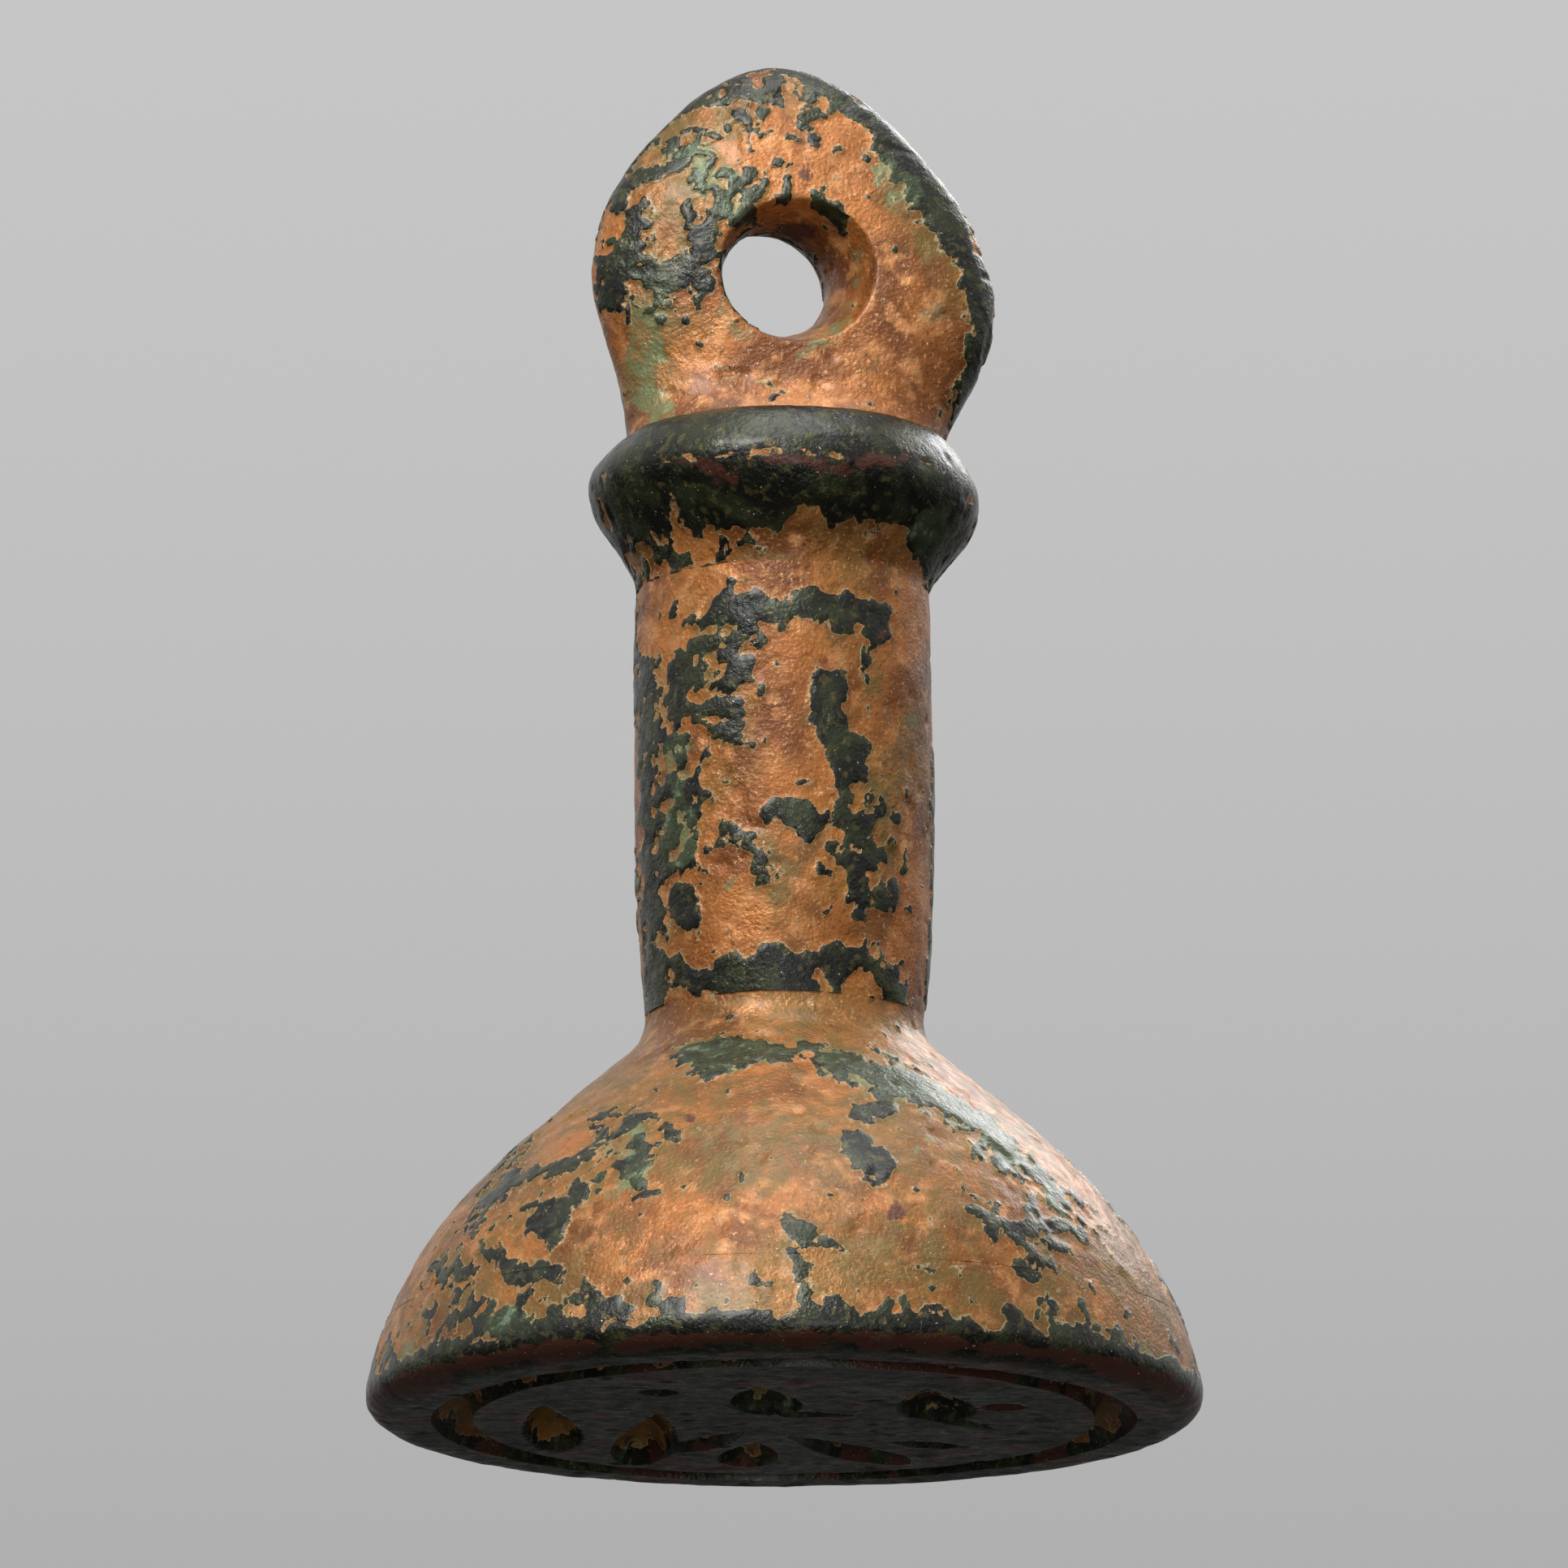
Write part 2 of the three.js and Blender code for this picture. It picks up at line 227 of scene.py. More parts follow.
# %% Build closed bodies from rings
def stitched(rings, low_pole, high_pole):
    """Points and faces of a closed body from rings that run counter-clockwise, lowest ring first."""
    rows, steps = rings.shape[:2]
    points = np.concatenate([rings.reshape(-1, 3), [low_pole, high_pole]])
    start = np.arange(rows - 1)[:, None] * steps
    here = np.arange(steps)[None]
    after = (here + 1) % steps
    quads = np.stack([start + here, start + after, start + steps + after, start + steps + here], -1)
    here, after = here[0], after[0]
    low = np.full(steps, rows * steps)
    last = (rows - 1) * steps
    under = np.stack([low, after, here], 1)
    over = np.stack([last + here, last + after, low + 1], 1)
    return points, quads.reshape(-1, 4).tolist() + under.tolist() + over.tolist()


def turned(wall, steps, under=None, shelf=None):
    """Points, surface directions and faces of a turned body. under and shelf are its end faces' rings."""
    slope = np.gradient(wall, axis=0)
    lean = np.stack([slope[:, 1], -slope[:, 0]], 1)
    lean /= np.linalg.norm(lean, axis=1)[:, None]
    rows, leans = [wall], [lean]
    if under is not None:
        rows.insert(0, under)
        leans.insert(0, np.tile([0.0, -1.0], (len(under), 1)))
    if shelf is not None:
        rows.append(shelf)
        leans.append(np.tile([0.0, 1.0], (len(shelf), 1)))
    rows, leans = np.concatenate(rows), np.concatenate(leans)
    turn = np.arange(steps) * 2 * math.pi / steps
    circle = np.stack([np.cos(turn), np.sin(turn)], 1)[None]

    def swept(line):
        flat = line[:, 0][:, None, None] * circle
        level = np.broadcast_to(line[:, 1][:, None, None], flat.shape[:2] + (1,))
        return np.concatenate([flat, level], 2)

    points, faces = stitched(swept(rows), (0, 0, rows[0, 1]), (0, 0, rows[-1, 1]))
    normals = np.concatenate([swept(leans).reshape(-1, 3), [(0, 0, -1), (0, 0, 1)]])
    return points, normals, faces


# %% [markdown]
# ## The cut face
# Under the head lies a round field in a border groove. The device in it is made of blunt-headed, pointed
# strokes like the cuts of a graver, and two drilled dots. It is pressed into the skin as a depth at each
# point, which is simpler than many boolean cuts and leaves no slivers.

# %% Depth of the engraving
RIM_LAND = 0.95
GROOVE_WIDTH = 1.35
GROOVE_DEPTH = 0.9
FIELD_RADIUS = LAND_RADIUS - RIM_LAND - GROOVE_WIDTH
WALL_ROUNDNESS = 0.6
GROOVE_STEPS = 16
STROKES = [
    ((-0.04, -0.12), (-0.09, -0.64), 2.3, 1.05),
    ((-0.02, -0.12), (0.23, -0.12), 0.9, 0.4),
    ((0.51, -0.03), (0.45, -0.6), 2.4, 1.05),
    ((0.43, -0.14), (0.68, 0.13), 0.9, 0.45),
    ((-0.74, 0.52), (-0.77, -0.3), 1.8, 1.3),
    ((-0.48, 0.81), (-0.4, -0.15), 2.0, 1.35),
    ((-0.36, 0.58), (-0.13, 0.18), 1.6, 0.9),
    ((-0.13, 0.84), (-0.09, 0.4), 1.9, 1.0),
    ((0.39, 0.81), (0.01, 0.26), 2.0, 1.1),
    ((0.56, 0.47), (0.34, 0.38), 1.2, 0.7),
]
DRILLED_DOTS = [((0.7, -0.26), 0.65, 0.55), ((-0.4, -0.52), 0.6, 0.45)]


def carved(flat):
    """How deep the device is cut at each flat place of the field, in mm."""
    depth = np.zeros(len(flat))
    for start, end, width, deep in STROKES:
        head_end, tail = np.array(start) * FIELD_RADIUS, np.array(end) * FIELD_RADIUS
        line = tail - head_end
        share = np.clip((flat - head_end) @ line / (line @ line), 0, 1)
        off = np.hypot(*(flat - head_end - share[:, None] * line).T)
        # 0 at both ends of a stroke and 1 at a third of the way from its head
        fatness = 1.5 * np.sqrt(3 * share) * (1 - share)
        across = off / np.maximum(width / 2 * fatness, 1e-6)
        cut = deep * fatness * np.clip(1 - across ** 2, 0, 1) ** WALL_ROUNDNESS
        depth = np.maximum(depth, cut)
    for centre, radius, deep in DRILLED_DOTS:
        across = np.hypot(*(flat - np.array(centre) * FIELD_RADIUS).T) / radius
        depth = np.maximum(depth, deep * np.clip(1 - across ** 2, 0, 1) ** WALL_ROUNDNESS)
    return depth


def under_outline():
    """The rings of the field, the half-round border groove and the flat land beside the rim."""
    def level(radii):
        return np.stack([radii, np.zeros(len(radii))], 1)

    swing = np.linspace(0, math.pi, GROOVE_STEPS)
    middle = FIELD_RADIUS + GROOVE_WIDTH / 2
    groove = np.stack([middle - np.cos(swing) * GROOVE_WIDTH / 2, np.sin(swing) * GROOVE_DEPTH], 1)
    field = level(np.arange(GRID, FIELD_RADIUS - GRID / 2, GRID))
    land = level(np.arange(middle + GROOVE_WIDTH / 2 + GRID, LAND_RADIUS - GRID / 2, GRID))
    return np.concatenate([field, groove, land])


print("field radius", round(FIELD_RADIUS, 2), "mm,", len(STROKES), "strokes")

# %% [markdown]
# ## Noise from a seeded lattice
# Cast and buried metal is uneven at every scale. A lattice of random numbers, blended smoothly between its
# knots, gives lumps of a chosen size. It is a function of the place in space, so neighbouring sections get
# the same lump at their border, and its seeds make each run the same.

# %% Smooth noise
LATTICE = 32
WAVE_HEIGHT = 0.075
WAVE_SIZE = 3.4
LUMP_HEIGHT = 0.024
LUMP_SIZE = 0.8
SAND_HEIGHT = 0.012
SAND_SIZE = 0.28
PIT_DEPTH = 0.06
PIT_SIZE = 0.6
PIT_EDGE = (0.5, 0.8)


def ease(value, low, high):
    """0 below low, 1 above high and a soft step between them."""
    share = np.clip((value - low) / (high - low), 0, 1)
    return share * share * (3 - 2 * share)


def cloud(points, size, seed):
    """Smooth noise from -1 to 1 whose lumps are about size mm across."""
    knots = np.random.default_rng(seed).uniform(-1, 1, (LATTICE, LATTICE, LATTICE))
    place = points / size + 7.31 * seed
    cell = np.floor(place).astype(int)
    share = place - cell
    share = share * share * (3 - 2 * share)
    total = np.zeros(len(points))
    for corner in np.ndindex(2, 2, 2):
        weight = np.abs(1 - np.array(corner) - share).prod(1)
        x, y, z = ((cell + corner) % LATTICE).T
        total += weight * knots[x, y, z]
    return total


def clouds(points, size, seed, octaves):
    """Noise with finer and weaker lumps added on top."""
    return sum(cloud(points, size / 2 ** n, seed + 100 * n) / 2 ** n for n in range(octaves))


def patchy(points, size, seed, octaves, sharpness, rarity):
    """Noise as a layer of patches: above 0 inside them, and less often so the higher the rarity."""
    return sharpness * (clouds(points, size, seed, octaves) - rarity)


def unevenness(points):
    """How far the skin stands out from the plain form, in mm: slow waves, lumps, sand and small pits."""
    waves = WAVE_HEIGHT * clouds(points, WAVE_SIZE, 1, 2)
    lumps = LUMP_HEIGHT * clouds(points, LUMP_SIZE, 2, 2)
    sand = SAND_HEIGHT * cloud(points, SAND_SIZE, 3)
    pits = PIT_DEPTH * ease(cloud(points, PIT_SIZE, 4), *PIT_EDGE)
    return waves + lumps + sand - pits


print("unevenness at the origin", round(float(unevenness(np.zeros((1, 3)))[0]), 3), "mm")

# %% [markdown]
# ## Where the crust lies
# Long burial left a dark crust in patches over a sandy orange film, with green, olive and red-brown stains.
# A painted picture could hold them, but it needs a flat map of the surface. Here each patch on the side
# that the photograph shows is a chain of round spots, given as across, down and radius in the photograph's
# pixels, and named for its place. A chain needs only a few spots, and noise makes its edge ragged. The
# sides that the photograph doesn't show get patches of the same kind from noise alone.

# %% List the head's patches
SHOULDER_ARC = [
    (855, 1300, 22), (893, 1298, 24), (930, 1296, 14), (998, 1292, 9), (1055, 1318, 19), (1110, 1336, 27),
    (1150, 1350, 19), (1185, 1380, 15), (1225, 1405, 16), (1262, 1434, 17), (1292, 1460, 14),
    (1305, 1485, 16),
]
HEAD_MARKS = {
    "crust": {
        "arc_over_the_shoulder": SHOULDER_ARC,
        "blob_on_the_back": [(1058, 1410, 24), (1080, 1432, 24)],
        "beads_above_the_blob": [(1059, 1366, 10), (1088, 1367, 11)],
        "left_streak": [(745, 1402, 10), (686, 1446, 11), (630, 1458, 11), (588, 1488, 11), (577, 1517, 9)],
        "left_spots": [(717, 1466, 13), (669, 1502, 14), (690, 1532, 7)],
        "left_low_spots": [(600, 1542, 9), (631, 1563, 13), (681, 1570, 12)],
        "middle_spots": [(971, 1514, 12), (1027, 1528, 13)],
        "low_middle_spots": [(983, 1551, 8), (1001, 1574, 11), (1001, 1650, 10)],
        "grey_patch_low_left": [(715, 1600, 13), (738, 1614, 15)],
        "teal_patch_low_left": [(612, 1622, 16), (640, 1640, 12)],
        "low_right_arc": [(1132, 1632, 10), (1165, 1624, 9), (1200, 1640, 10)],
        "low_right_islands": [(1242, 1648, 10), (1268, 1652, 11)],
        "low_right_streak": [(1296, 1604, 8), (1302, 1650, 11), (1327, 1651, 11)],
        "right_edge_drip": [(1396, 1664, 6), (1398, 1700, 7)],
        "upper_right_spot": [(1260, 1566, 12)],
    },
    "mottle": {
        "lower_right": [(1225, 1510, 20), (1310, 1508, 20), (1264, 1550, 18)],
        "left_flank": [(560, 1560, 26), (575, 1630, 24)],
        "low_left": [(670, 1642, 20), (700, 1628, 16)],
        "teal_left": [(779, 1407, 24), (785, 1450, 14)],
    },
    "bare": {
        "patch_low_left": [(612, 1585, 20)],
        "patch_low_middle": [(682, 1598, 16)],
    },
    "green": {
        "arc_over_the_shoulder": SHOULDER_ARC,
        "teal_left": [(781, 1407, 20), (790, 1446, 12), (767, 1463, 12)],
        "teal_low_left": [(612, 1622, 18), (640, 1640, 14)],
        "spot_right": [(1141, 1414, 9)],
        "turquoise_low": [(1078, 1644, 8), (1100, 1642, 8)],
        "right_rim": [(1410, 1660, 8), (1455, 1686, 9)],
        "left_rim": [(492, 1640, 8), (520, 1690, 9)],
    },
    "olive": {
        "right_streak": [(1188, 1428, 13)],
        "under_the_neck": [(950, 1325, 13), (980, 1326, 12)],
        "left_flank": [(520, 1620, 34), (560, 1560, 30)],
        "low_middle": [(760, 1640, 16)],
        "right_spots": [(1327, 1586, 8)],
        "middle_haze": [(880, 1440, 46), (960, 1420, 40)],
    },
    "red": {
        "right_spot": [(1109, 1492, 13)],
        "left_spot": [(849, 1383, 9)],
        "left_low": [(650, 1668, 9), (705, 1668, 9)],
    },
}
print(sum(len(chains) for chains in HEAD_MARKS.values()), "chains on the head")

# %% [markdown]
# ## Patches on the stalk
# The stalk carries an arch of crust, an upright bar below it and a band round its foot. Crust that is half
# rubbed away is listed as mottle and shows only as crumbs. Bare spots are taken out of the crust again.

# %% List the stalk's patches
STALK_MARKS = {
    "crust": {
        "arch": [
            (870, 762, 14), (905, 748, 16), (950, 750, 14), (1000, 748, 16), (1040, 748, 26),
            (1075, 757, 22), (1085, 780, 13),
        ],
        "lower_left_of_the_arch": [(840, 825, 15), (840, 890, 15)],
        "thin_leg": [(1065, 795, 6), (1066, 835, 5)],
        "upright_bar": [(1021, 842, 21), (1024, 880, 19), (1043, 915, 20), (1045, 950, 21)],
        # left_edge here is painted shade: a dark strip where the stalk's left side turns from the light
        "left_edge": [(800, 815, 11), (796, 950, 11), (800, 1090, 13), (808, 1130, 11), (810, 1250, 11)],
        "lens": [(962, 1000, 17), (1000, 1015, 18)],
        "slanting_line": [(899, 1017, 8), (947, 1084, 8)],
        "left_patch": [(842, 1115, 18), (845, 1138, 16)],
        "foot_band": [
            (838, 1206, 15), (900, 1204, 18), (950, 1198, 31), (1000, 1202, 38), (1050, 1180, 16),
            (1090, 1198, 18), (1102, 1240, 14),
        ],
    },
    "mottle": {
        "left_leg_of_the_arch": [(885, 800, 38), (888, 862, 34)],
        "left_side": [(838, 925, 24), (838, 1050, 22)],
        "right_side": [(1060, 1010, 34), (1065, 1095, 32)],
    },
    "bare": {
        "notch_in_the_foot_band": [(1058, 1202, 8), (1066, 1216, 8)],
        "dots_in_the_foot_band": [(1010, 1198, 5), (1009, 1219, 5)],
    },
    "green": {
        "left_side": [(838, 925, 20), (838, 1050, 18)],
        "heart_of_the_lens": [(985, 1006, 11)],
        "right_crumbs": [(1104, 896, 6), (1126, 888, 6)],
        "left_crumb": [(907, 1085, 8)],
        "right_of_the_foot": [(1100, 1230, 12)],
    },
    "olive": {
        "right_of_the_arch": [(1075, 805, 20), (1073, 840, 18)],
        "below_the_lens": [(955, 1048, 24), (962, 1105, 22)],
        "left_leg_of_the_arch": [(885, 800, 30), (888, 862, 26)],
        "right_side": [(1085, 960, 24), (1090, 1060, 22)],
    },
    "red": {"pit": [(1081, 776, 7)], "above_the_foot_band": [(930, 1150, 6)]},
}
print(sum(len(chains) for chains in STALK_MARKS.values()), "chains on the stalk")

# %% [markdown]
# ## Patches on the collar
# The collar is dark nearly all over, with a fine crack on the left and red-brown along its worn top edge
# that is partly oxide and partly a painted highlight where the shoulder catches light from above. A crack is
# a bare chain with a very small radius, so it needs no tool of its own.

# %% List the collar's patches
COLLAR_MARKS = {
    "crust": {
        "band": [
            (775, 620, 50), (850, 604, 47), (930, 606, 48), (985, 590, 34), (1045, 605, 46), (1110, 604, 44),
            (1165, 612, 40),
        ],
        "right_side": [(1150, 650, 36), (1165, 695, 32)],
    },
    "mottle": {"below_the_band": [(820, 690, 14), (905, 685, 10)]},
    "bare": {
        "left_edge_spot": [(748, 620, 7), (750, 648, 8)],
        "crack": [(827, 613, 3), (841, 655, 4)],
    },
    "green": {"right_side": [(1145, 655, 26), (1165, 700, 26)]},
    "olive": {"below_the_band": [(880, 700, 18), (1000, 700, 16)]},
    "red": {
        # red-brown along the top edge: partly oxide, partly a painted highlight on the lit shoulder
        "top_edge_left_oxide_and_highlight": [(848, 566, 8), (907, 584, 8)],
        "top_edge_middle_oxide_and_highlight": [(948, 562, 9), (1044, 578, 9)],
        "top_edge_right_oxide_and_highlight": [(1062, 570, 8), (1113, 574, 8)],
    },
}
print(sum(len(chains) for chains in COLLAR_MARKS.values()), "chains on the collar")

# %% [markdown]
# ## Patches on the lug
# One long curve of crust runs down the right shoulder, and the left shoulder is a fine mix of crust, olive
# and bare film. The mix would take hundreds of chains, so mottle gives its extent and noise its grains.

# %% List the lug's patches
LUG_MARKS = {
    "crust": {
        "right_shoulder": [
            (1003, 98, 17), (1079, 146, 24), (1130, 215, 26), (1172, 285, 26), (1202, 340, 22),
            (1214, 410, 18), (1200, 470, 14), (1178, 515, 11),
        ],
        "dash_above_the_hole": [(1024, 190, 6), (1037, 216, 6)],
        "right_of_the_hole": [(1005, 236, 11), (1020, 256, 14), (1035, 282, 10)],
        "left_edge": [(775, 296, 15), (752, 335, 20), (750, 388, 18)],
        "left_spots": [(815, 335, 14), (870, 348, 18)],
        "foot_dashes": [(820, 536, 8)],
        "foot_dashes_middle": [(886, 535, 9)],
        "foot_dashes_right": [(986, 532, 9)],
        "foot_dashes_far_right": [(1062, 538, 9)],
    },
    "mottle": {
        "crown": [(900, 120, 40), (975, 120, 34)],
        "left_shoulder": [(870, 160, 48), (800, 230, 52)],
        "left_of_the_hole": [(855, 262, 40), (920, 240, 34)],
        "left_flank": [(800, 320, 40), (860, 345, 34)],
    },
    "bare": {
        "upper_islands": [(850, 148, 11), (888, 148, 11)],
        "left_islands": [(785, 190, 17), (808, 188, 15)],
        "middle_islands": [(880, 184, 12), (912, 184, 12)],
        "long_island": [(822, 235, 17), (824, 300, 19)],
        "small_island": [(963, 179, 12)],
        "crown_island": [(982, 118, 13), (982, 140, 12)],
        "crown_dot": [(934, 100, 9)],
        "left_edge_spot": [(753, 398, 13), (755, 430, 12)],
    },
    "green": {
        "inside_the_right_shoulder": [(1112, 240, 22), (1090, 200, 12)],
        "ring_right_of_the_hole": [(1058, 318, 5), (1055, 370, 5), (1030, 408, 5), (986, 432, 5)],
        "ring_left_of_the_hole": [(882, 380, 5), (920, 421, 5)],
        "left_field": [(803, 355, 24), (796, 430, 24), (792, 490, 22), (820, 502, 16)],
        "right_spot": [(1154, 387, 14)],
        "crown_haze": [(860, 200, 30), (900, 250, 26)],
    },
    "olive": {
        "left_shoulder": [(880, 130, 50), (800, 230, 56), (850, 300, 46)],
        "right_shoulder": [(1112, 240, 30), (1150, 330, 20)],
        "left_field": [(805, 380, 34), (800, 470, 34)],
    },
    # the red-brown on the roof of the cord hole is painted shade
    "red": {"pit": [(999, 208, 7)], "shaded_hole_roof": [(950, 292, 12), (1000, 292, 12)]},
}
print(sum(len(chains) for chains in LUG_MARKS.values()), "chains on the lug")

# %% [markdown]
# ## From patches to layers
# Four layers are worked out at every point: crust, green, olive and red. A plain yes or no at each point
# would show the mesh's own steps, so each layer is a distance from the edge of its patches, above 0 inside,
# and the material draws a sharp edge finer than the mesh. The front takes the named chains, the back takes
# noise, and the two fade into each other where the surface turns away.

# %% Work out the layers
LAYER_NAMES = ("green", "olive", "red")
LAYER_REACH = 25.0
EDGE_WOBBLE = 11.0
WOBBLE_SIZE = 0.8
CRUMB_SIZE = 0.42
CRUMB_EDGE = 9
MOTTLE_SHARE = 0.5
MOTTLE_CAP = 8
MOTTLE_CRUMBS = 26
MOTTLE_RARITY = 2
SPECKS = {"size": 0.45, "seed": 61, "octaves": 1, "sharpness": 40, "rarity": 0.82}
BACK_SIZE = 3.2
BACK_SIZE_STEP = 0.5
BACK_SHARPNESS = 60
BACK_CRUMBS = 12
TURNING_AWAY = (-0.1, 0.4)


def photo_places(points):
    """Where the photograph shows points given in mm, in its frame of 1932 x 1932 pixels."""
    back = points[:, 1] + CAMERA_BACK
    rise = points[:, 2] + CAMERA_DROP
    depth = rise * math.sin(CAMERA_TILT) + back * math.cos(CAMERA_TILT)
    up = rise * math.cos(CAMERA_TILT) - back * math.sin(CAMERA_TILT)
    across = PHOTO_SIZE / 2 + FOCAL_PIXELS * points[:, 0] / depth
    return np.stack([across, PHOTO_SIZE / 2 - FOCAL_PIXELS * up / depth], 1)


def facing(points, normals):
    """How far the surface is turned towards where the photograph was taken, from -1 to 1."""
    sight = np.array([0.0, -CAMERA_BACK, -CAMERA_DROP]) - points
    return (sight * normals).sum(1) / np.linalg.norm(sight, axis=1)


def inside(places, chains):
    """How far inside the nearest chain each place lies, in pixels. It is negative outside."""
    best = np.full(len(places), -1000.0)
    for chain in chains.values():
        spots = np.array(chain if len(chain) > 1 else chain * 2, float)
        for start, end in zip(spots, spots[1:]):
            line = end[:2] - start[:2]
            share = np.clip((places - start[:2]) @ line / max(line @ line, 1e-9), 0, 1)
            off = np.hypot(*(places - start[:2] - share[:, None] * line).T)
            best = np.maximum(best, start[2] + share * (end[2] - start[2]) - off)
    return best


def front_layers(points, marks, crumbs):
    """The layers on the side that the photograph shows, from its named chains."""
    wobble = [clouds(points, WOBBLE_SIZE, seed, 2) for seed in (21, 23)]
    places = photo_places(points) + EDGE_WOBBLE * np.stack(wobble, 1)
    solid = inside(places, marks["crust"]) + CRUMB_EDGE * crumbs
    mottle = np.minimum(MOTTLE_SHARE * inside(places, marks["mottle"]), MOTTLE_CAP)
    spotty = mottle + MOTTLE_CRUMBS * crumbs - MOTTLE_RARITY
    crust = np.maximum(np.maximum(solid, spotty), patchy(points, **SPECKS))
    crust = np.minimum(crust, -inside(places, marks["bare"]))
    return [crust] + [inside(places, marks[name]) for name in LAYER_NAMES]


def back_layers(points, cover, crumbs):
    """The layers on the sides that it doesn't show, from noise. Each is finer than the one before."""
    layers = []
    for number, rarity in enumerate(cover):
        size = BACK_SIZE - BACK_SIZE_STEP * number
        layers.append(patchy(points, size, 41 + number, 4, BACK_SHARPNESS, rarity) + BACK_CRUMBS * crumbs)
    return layers


def layers_on(points, normals, marks, cover):
    """The four layers in pixels. cover lists how rare crust, green, olive and red are at the back."""
    crumbs = clouds(points, CRUMB_SIZE, 31, 3)
    seen = ease(facing(points, normals), *TURNING_AWAY)
    layers = []
    for shown, wild in zip(front_layers(points, marks, crumbs), back_layers(points, cover, crumbs)):
        kept = [np.clip(layer, -LAYER_REACH, LAYER_REACH) for layer in (shown, wild)]
        layers.append(seen * kept[0] + (1 - seen) * kept[1])
    return np.stack(layers, 1)


middle_of_rim = np.array([[0.0, -HEAD_RADIUS, 0.0]])
print("the rim's middle is seen at pixel", photo_places(middle_of_rim).round()[0])

# %% [markdown]
# ## Colours and node helpers
# The colours are written as seen in plain light, from 0 to 255, and turned into Blender's linear values.
# Small helpers add a node, feed its sockets and return its output, so that a material reads as a recipe.

# %% Colour and node helpers
def tint(red, green, blue):
    """A colour seen on screen, from 0 to 255, as Blender's linear colour."""
    return tuple((c / 255 / 12.92) if c <= 10 else ((c / 255 + 0.055) / 1.055) ** 2.4
                 for c in (red, green, blue)) + (1.0,)


def add(tree, kind, **settings):
    """A new shader node with its settings."""
    made = tree.nodes.new("ShaderNode" + kind)
    for setting, value in settings.items():
        setattr(made, setting, value)
    return made


def feed(tree, socket, value):
    """Links a socket, or sets it where the value is a number or a colour."""
    if isinstance(value, bpy.types.NodeSocket):
        tree.links.new(value, socket)
    else:
        socket.default_value = value


def grain(tree, size, detail=4.0):
    """Noise in the seal's own space whose lumps are about size mm across."""
    lumps = add(tree, "TexNoise")
    feed(tree, lumps.inputs["Vector"], add(tree, "TexCoord").outputs["Object"])
    lumps.inputs["Scale"].default_value = 1 / (size * MM)
    lumps.inputs["Detail"].default_value = detail
    return lumps.outputs[0]


def maths(tree, operation, first, second):
    """One sum of two values."""
    made = add(tree, "Math", operation=operation)
    feed(tree, made.inputs[0], first)
    feed(tree, made.inputs[1], second)
    return made.outputs[0]


def step(tree, value, low, high, start=0.0, end=1.0):
    """A soft step from start to end while the value goes from low to high."""
    made = add(tree, "MapRange", interpolation_type="SMOOTHSTEP")
    feed(tree, made.inputs[0], value)
    for socket, number in zip(made.inputs[1:5], (low, high, start, end)):
        socket.default_value = number
    return made.outputs[0]


def over(tree, share, below, above):
    """One colour laid over another by a share."""
    made = add(tree, "Mix", data_type="RGBA")
    feed(tree, made.inputs[0], share)
    feed(tree, made.inputs[6], below)
    feed(tree, made.inputs[7], above)
    return made.outputs[2]


print("mid grey in linear light", [round(c, 3) for c in tint(128, 128, 128)])

# %% [markdown]
# ## The finish of buried bronze
# From below: a sandy orange-tan film, olive stain, dark green-black crust, green corrosion, red-brown
# oxide, and the pale line where the crust breaks off. The crust's black also serves as painted shade along
# the stalk's left edge and on the flat field under the head, and the red-brown as a painted highlight on the
# collar's top edge and painted shade in the cord hole. The pale line is partly a painted highlight on the
# crust's raised rim, the film's pale sand grains are partly painted glints, and white specks on top are
# painted glints. The crust is smooth and a little glossy and the film is matt, so the roughness follows the
# same layers as the colour. Fine sand is bump, because it is smaller than the mesh; everything larger is
# already in the geometry.

# %% Colours of the finish
FILM_DEEP = tint(118, 64, 16)
FILM_MIDDLE = tint(180, 110, 46)
FILM_PALE = tint(208, 142, 84)
# pale sand grains, partly painted glints
FILM_SAND_AND_GLINT = tint(220, 168, 116)
FILM_BROWN = tint(88, 50, 18)
FILM_KHAKI = tint(140, 106, 46)
FILM_SHADOW = tint(74, 60, 28)
OLIVE = tint(114, 92, 40)
CRUST_BLACK = tint(20, 21, 14)
CRUST_GREEN = tint(48, 54, 30)
CRUST_OLIVE = tint(92, 84, 44)
GREEN_PALE = tint(118, 124, 82)
GREEN_DEEP = tint(64, 75, 48)
TURQUOISE = tint(135, 158, 124)
RED_BROWN = tint(84, 46, 32)
# the pale line at the crust's edge, partly a painted highlight on its raised rim
BROKEN_EDGE_AND_HIGHLIGHT = tint(164, 146, 104)
# white specks that are painted glints
PAINTED_GLINT = tint(238, 230, 212)


def film_colour(tree):
    """The orange-tan film: slow changes of tone, khaki and dark clouds, brown grains, and sand grains that
    are partly painted glints.
    """
    film = over(tree, step(tree, grain(tree, 2.6), 0.38, 0.62), FILM_DEEP, FILM_MIDDLE)
    film = over(tree, step(tree, grain(tree, 0.8), 0.5, 0.7, 0.0, 0.8), film, FILM_PALE)
    film = over(tree, step(tree, grain(tree, 3.7), 0.48, 0.62, 0.0, 0.5), film, FILM_KHAKI)
    film = over(tree, step(tree, grain(tree, 1.3, 6.0), 0.57, 0.68, 0.0, 0.5), film, FILM_SHADOW)
    film = over(tree, step(tree, grain(tree, 0.24), 0.55, 0.7, 0.0, 0.5), film, FILM_BROWN)
    # pale sand grains, partly painted glints
    return over(tree, step(tree, grain(tree, 0.15), 0.58, 0.72, 0.0, 0.55), film, FILM_SAND_AND_GLINT)


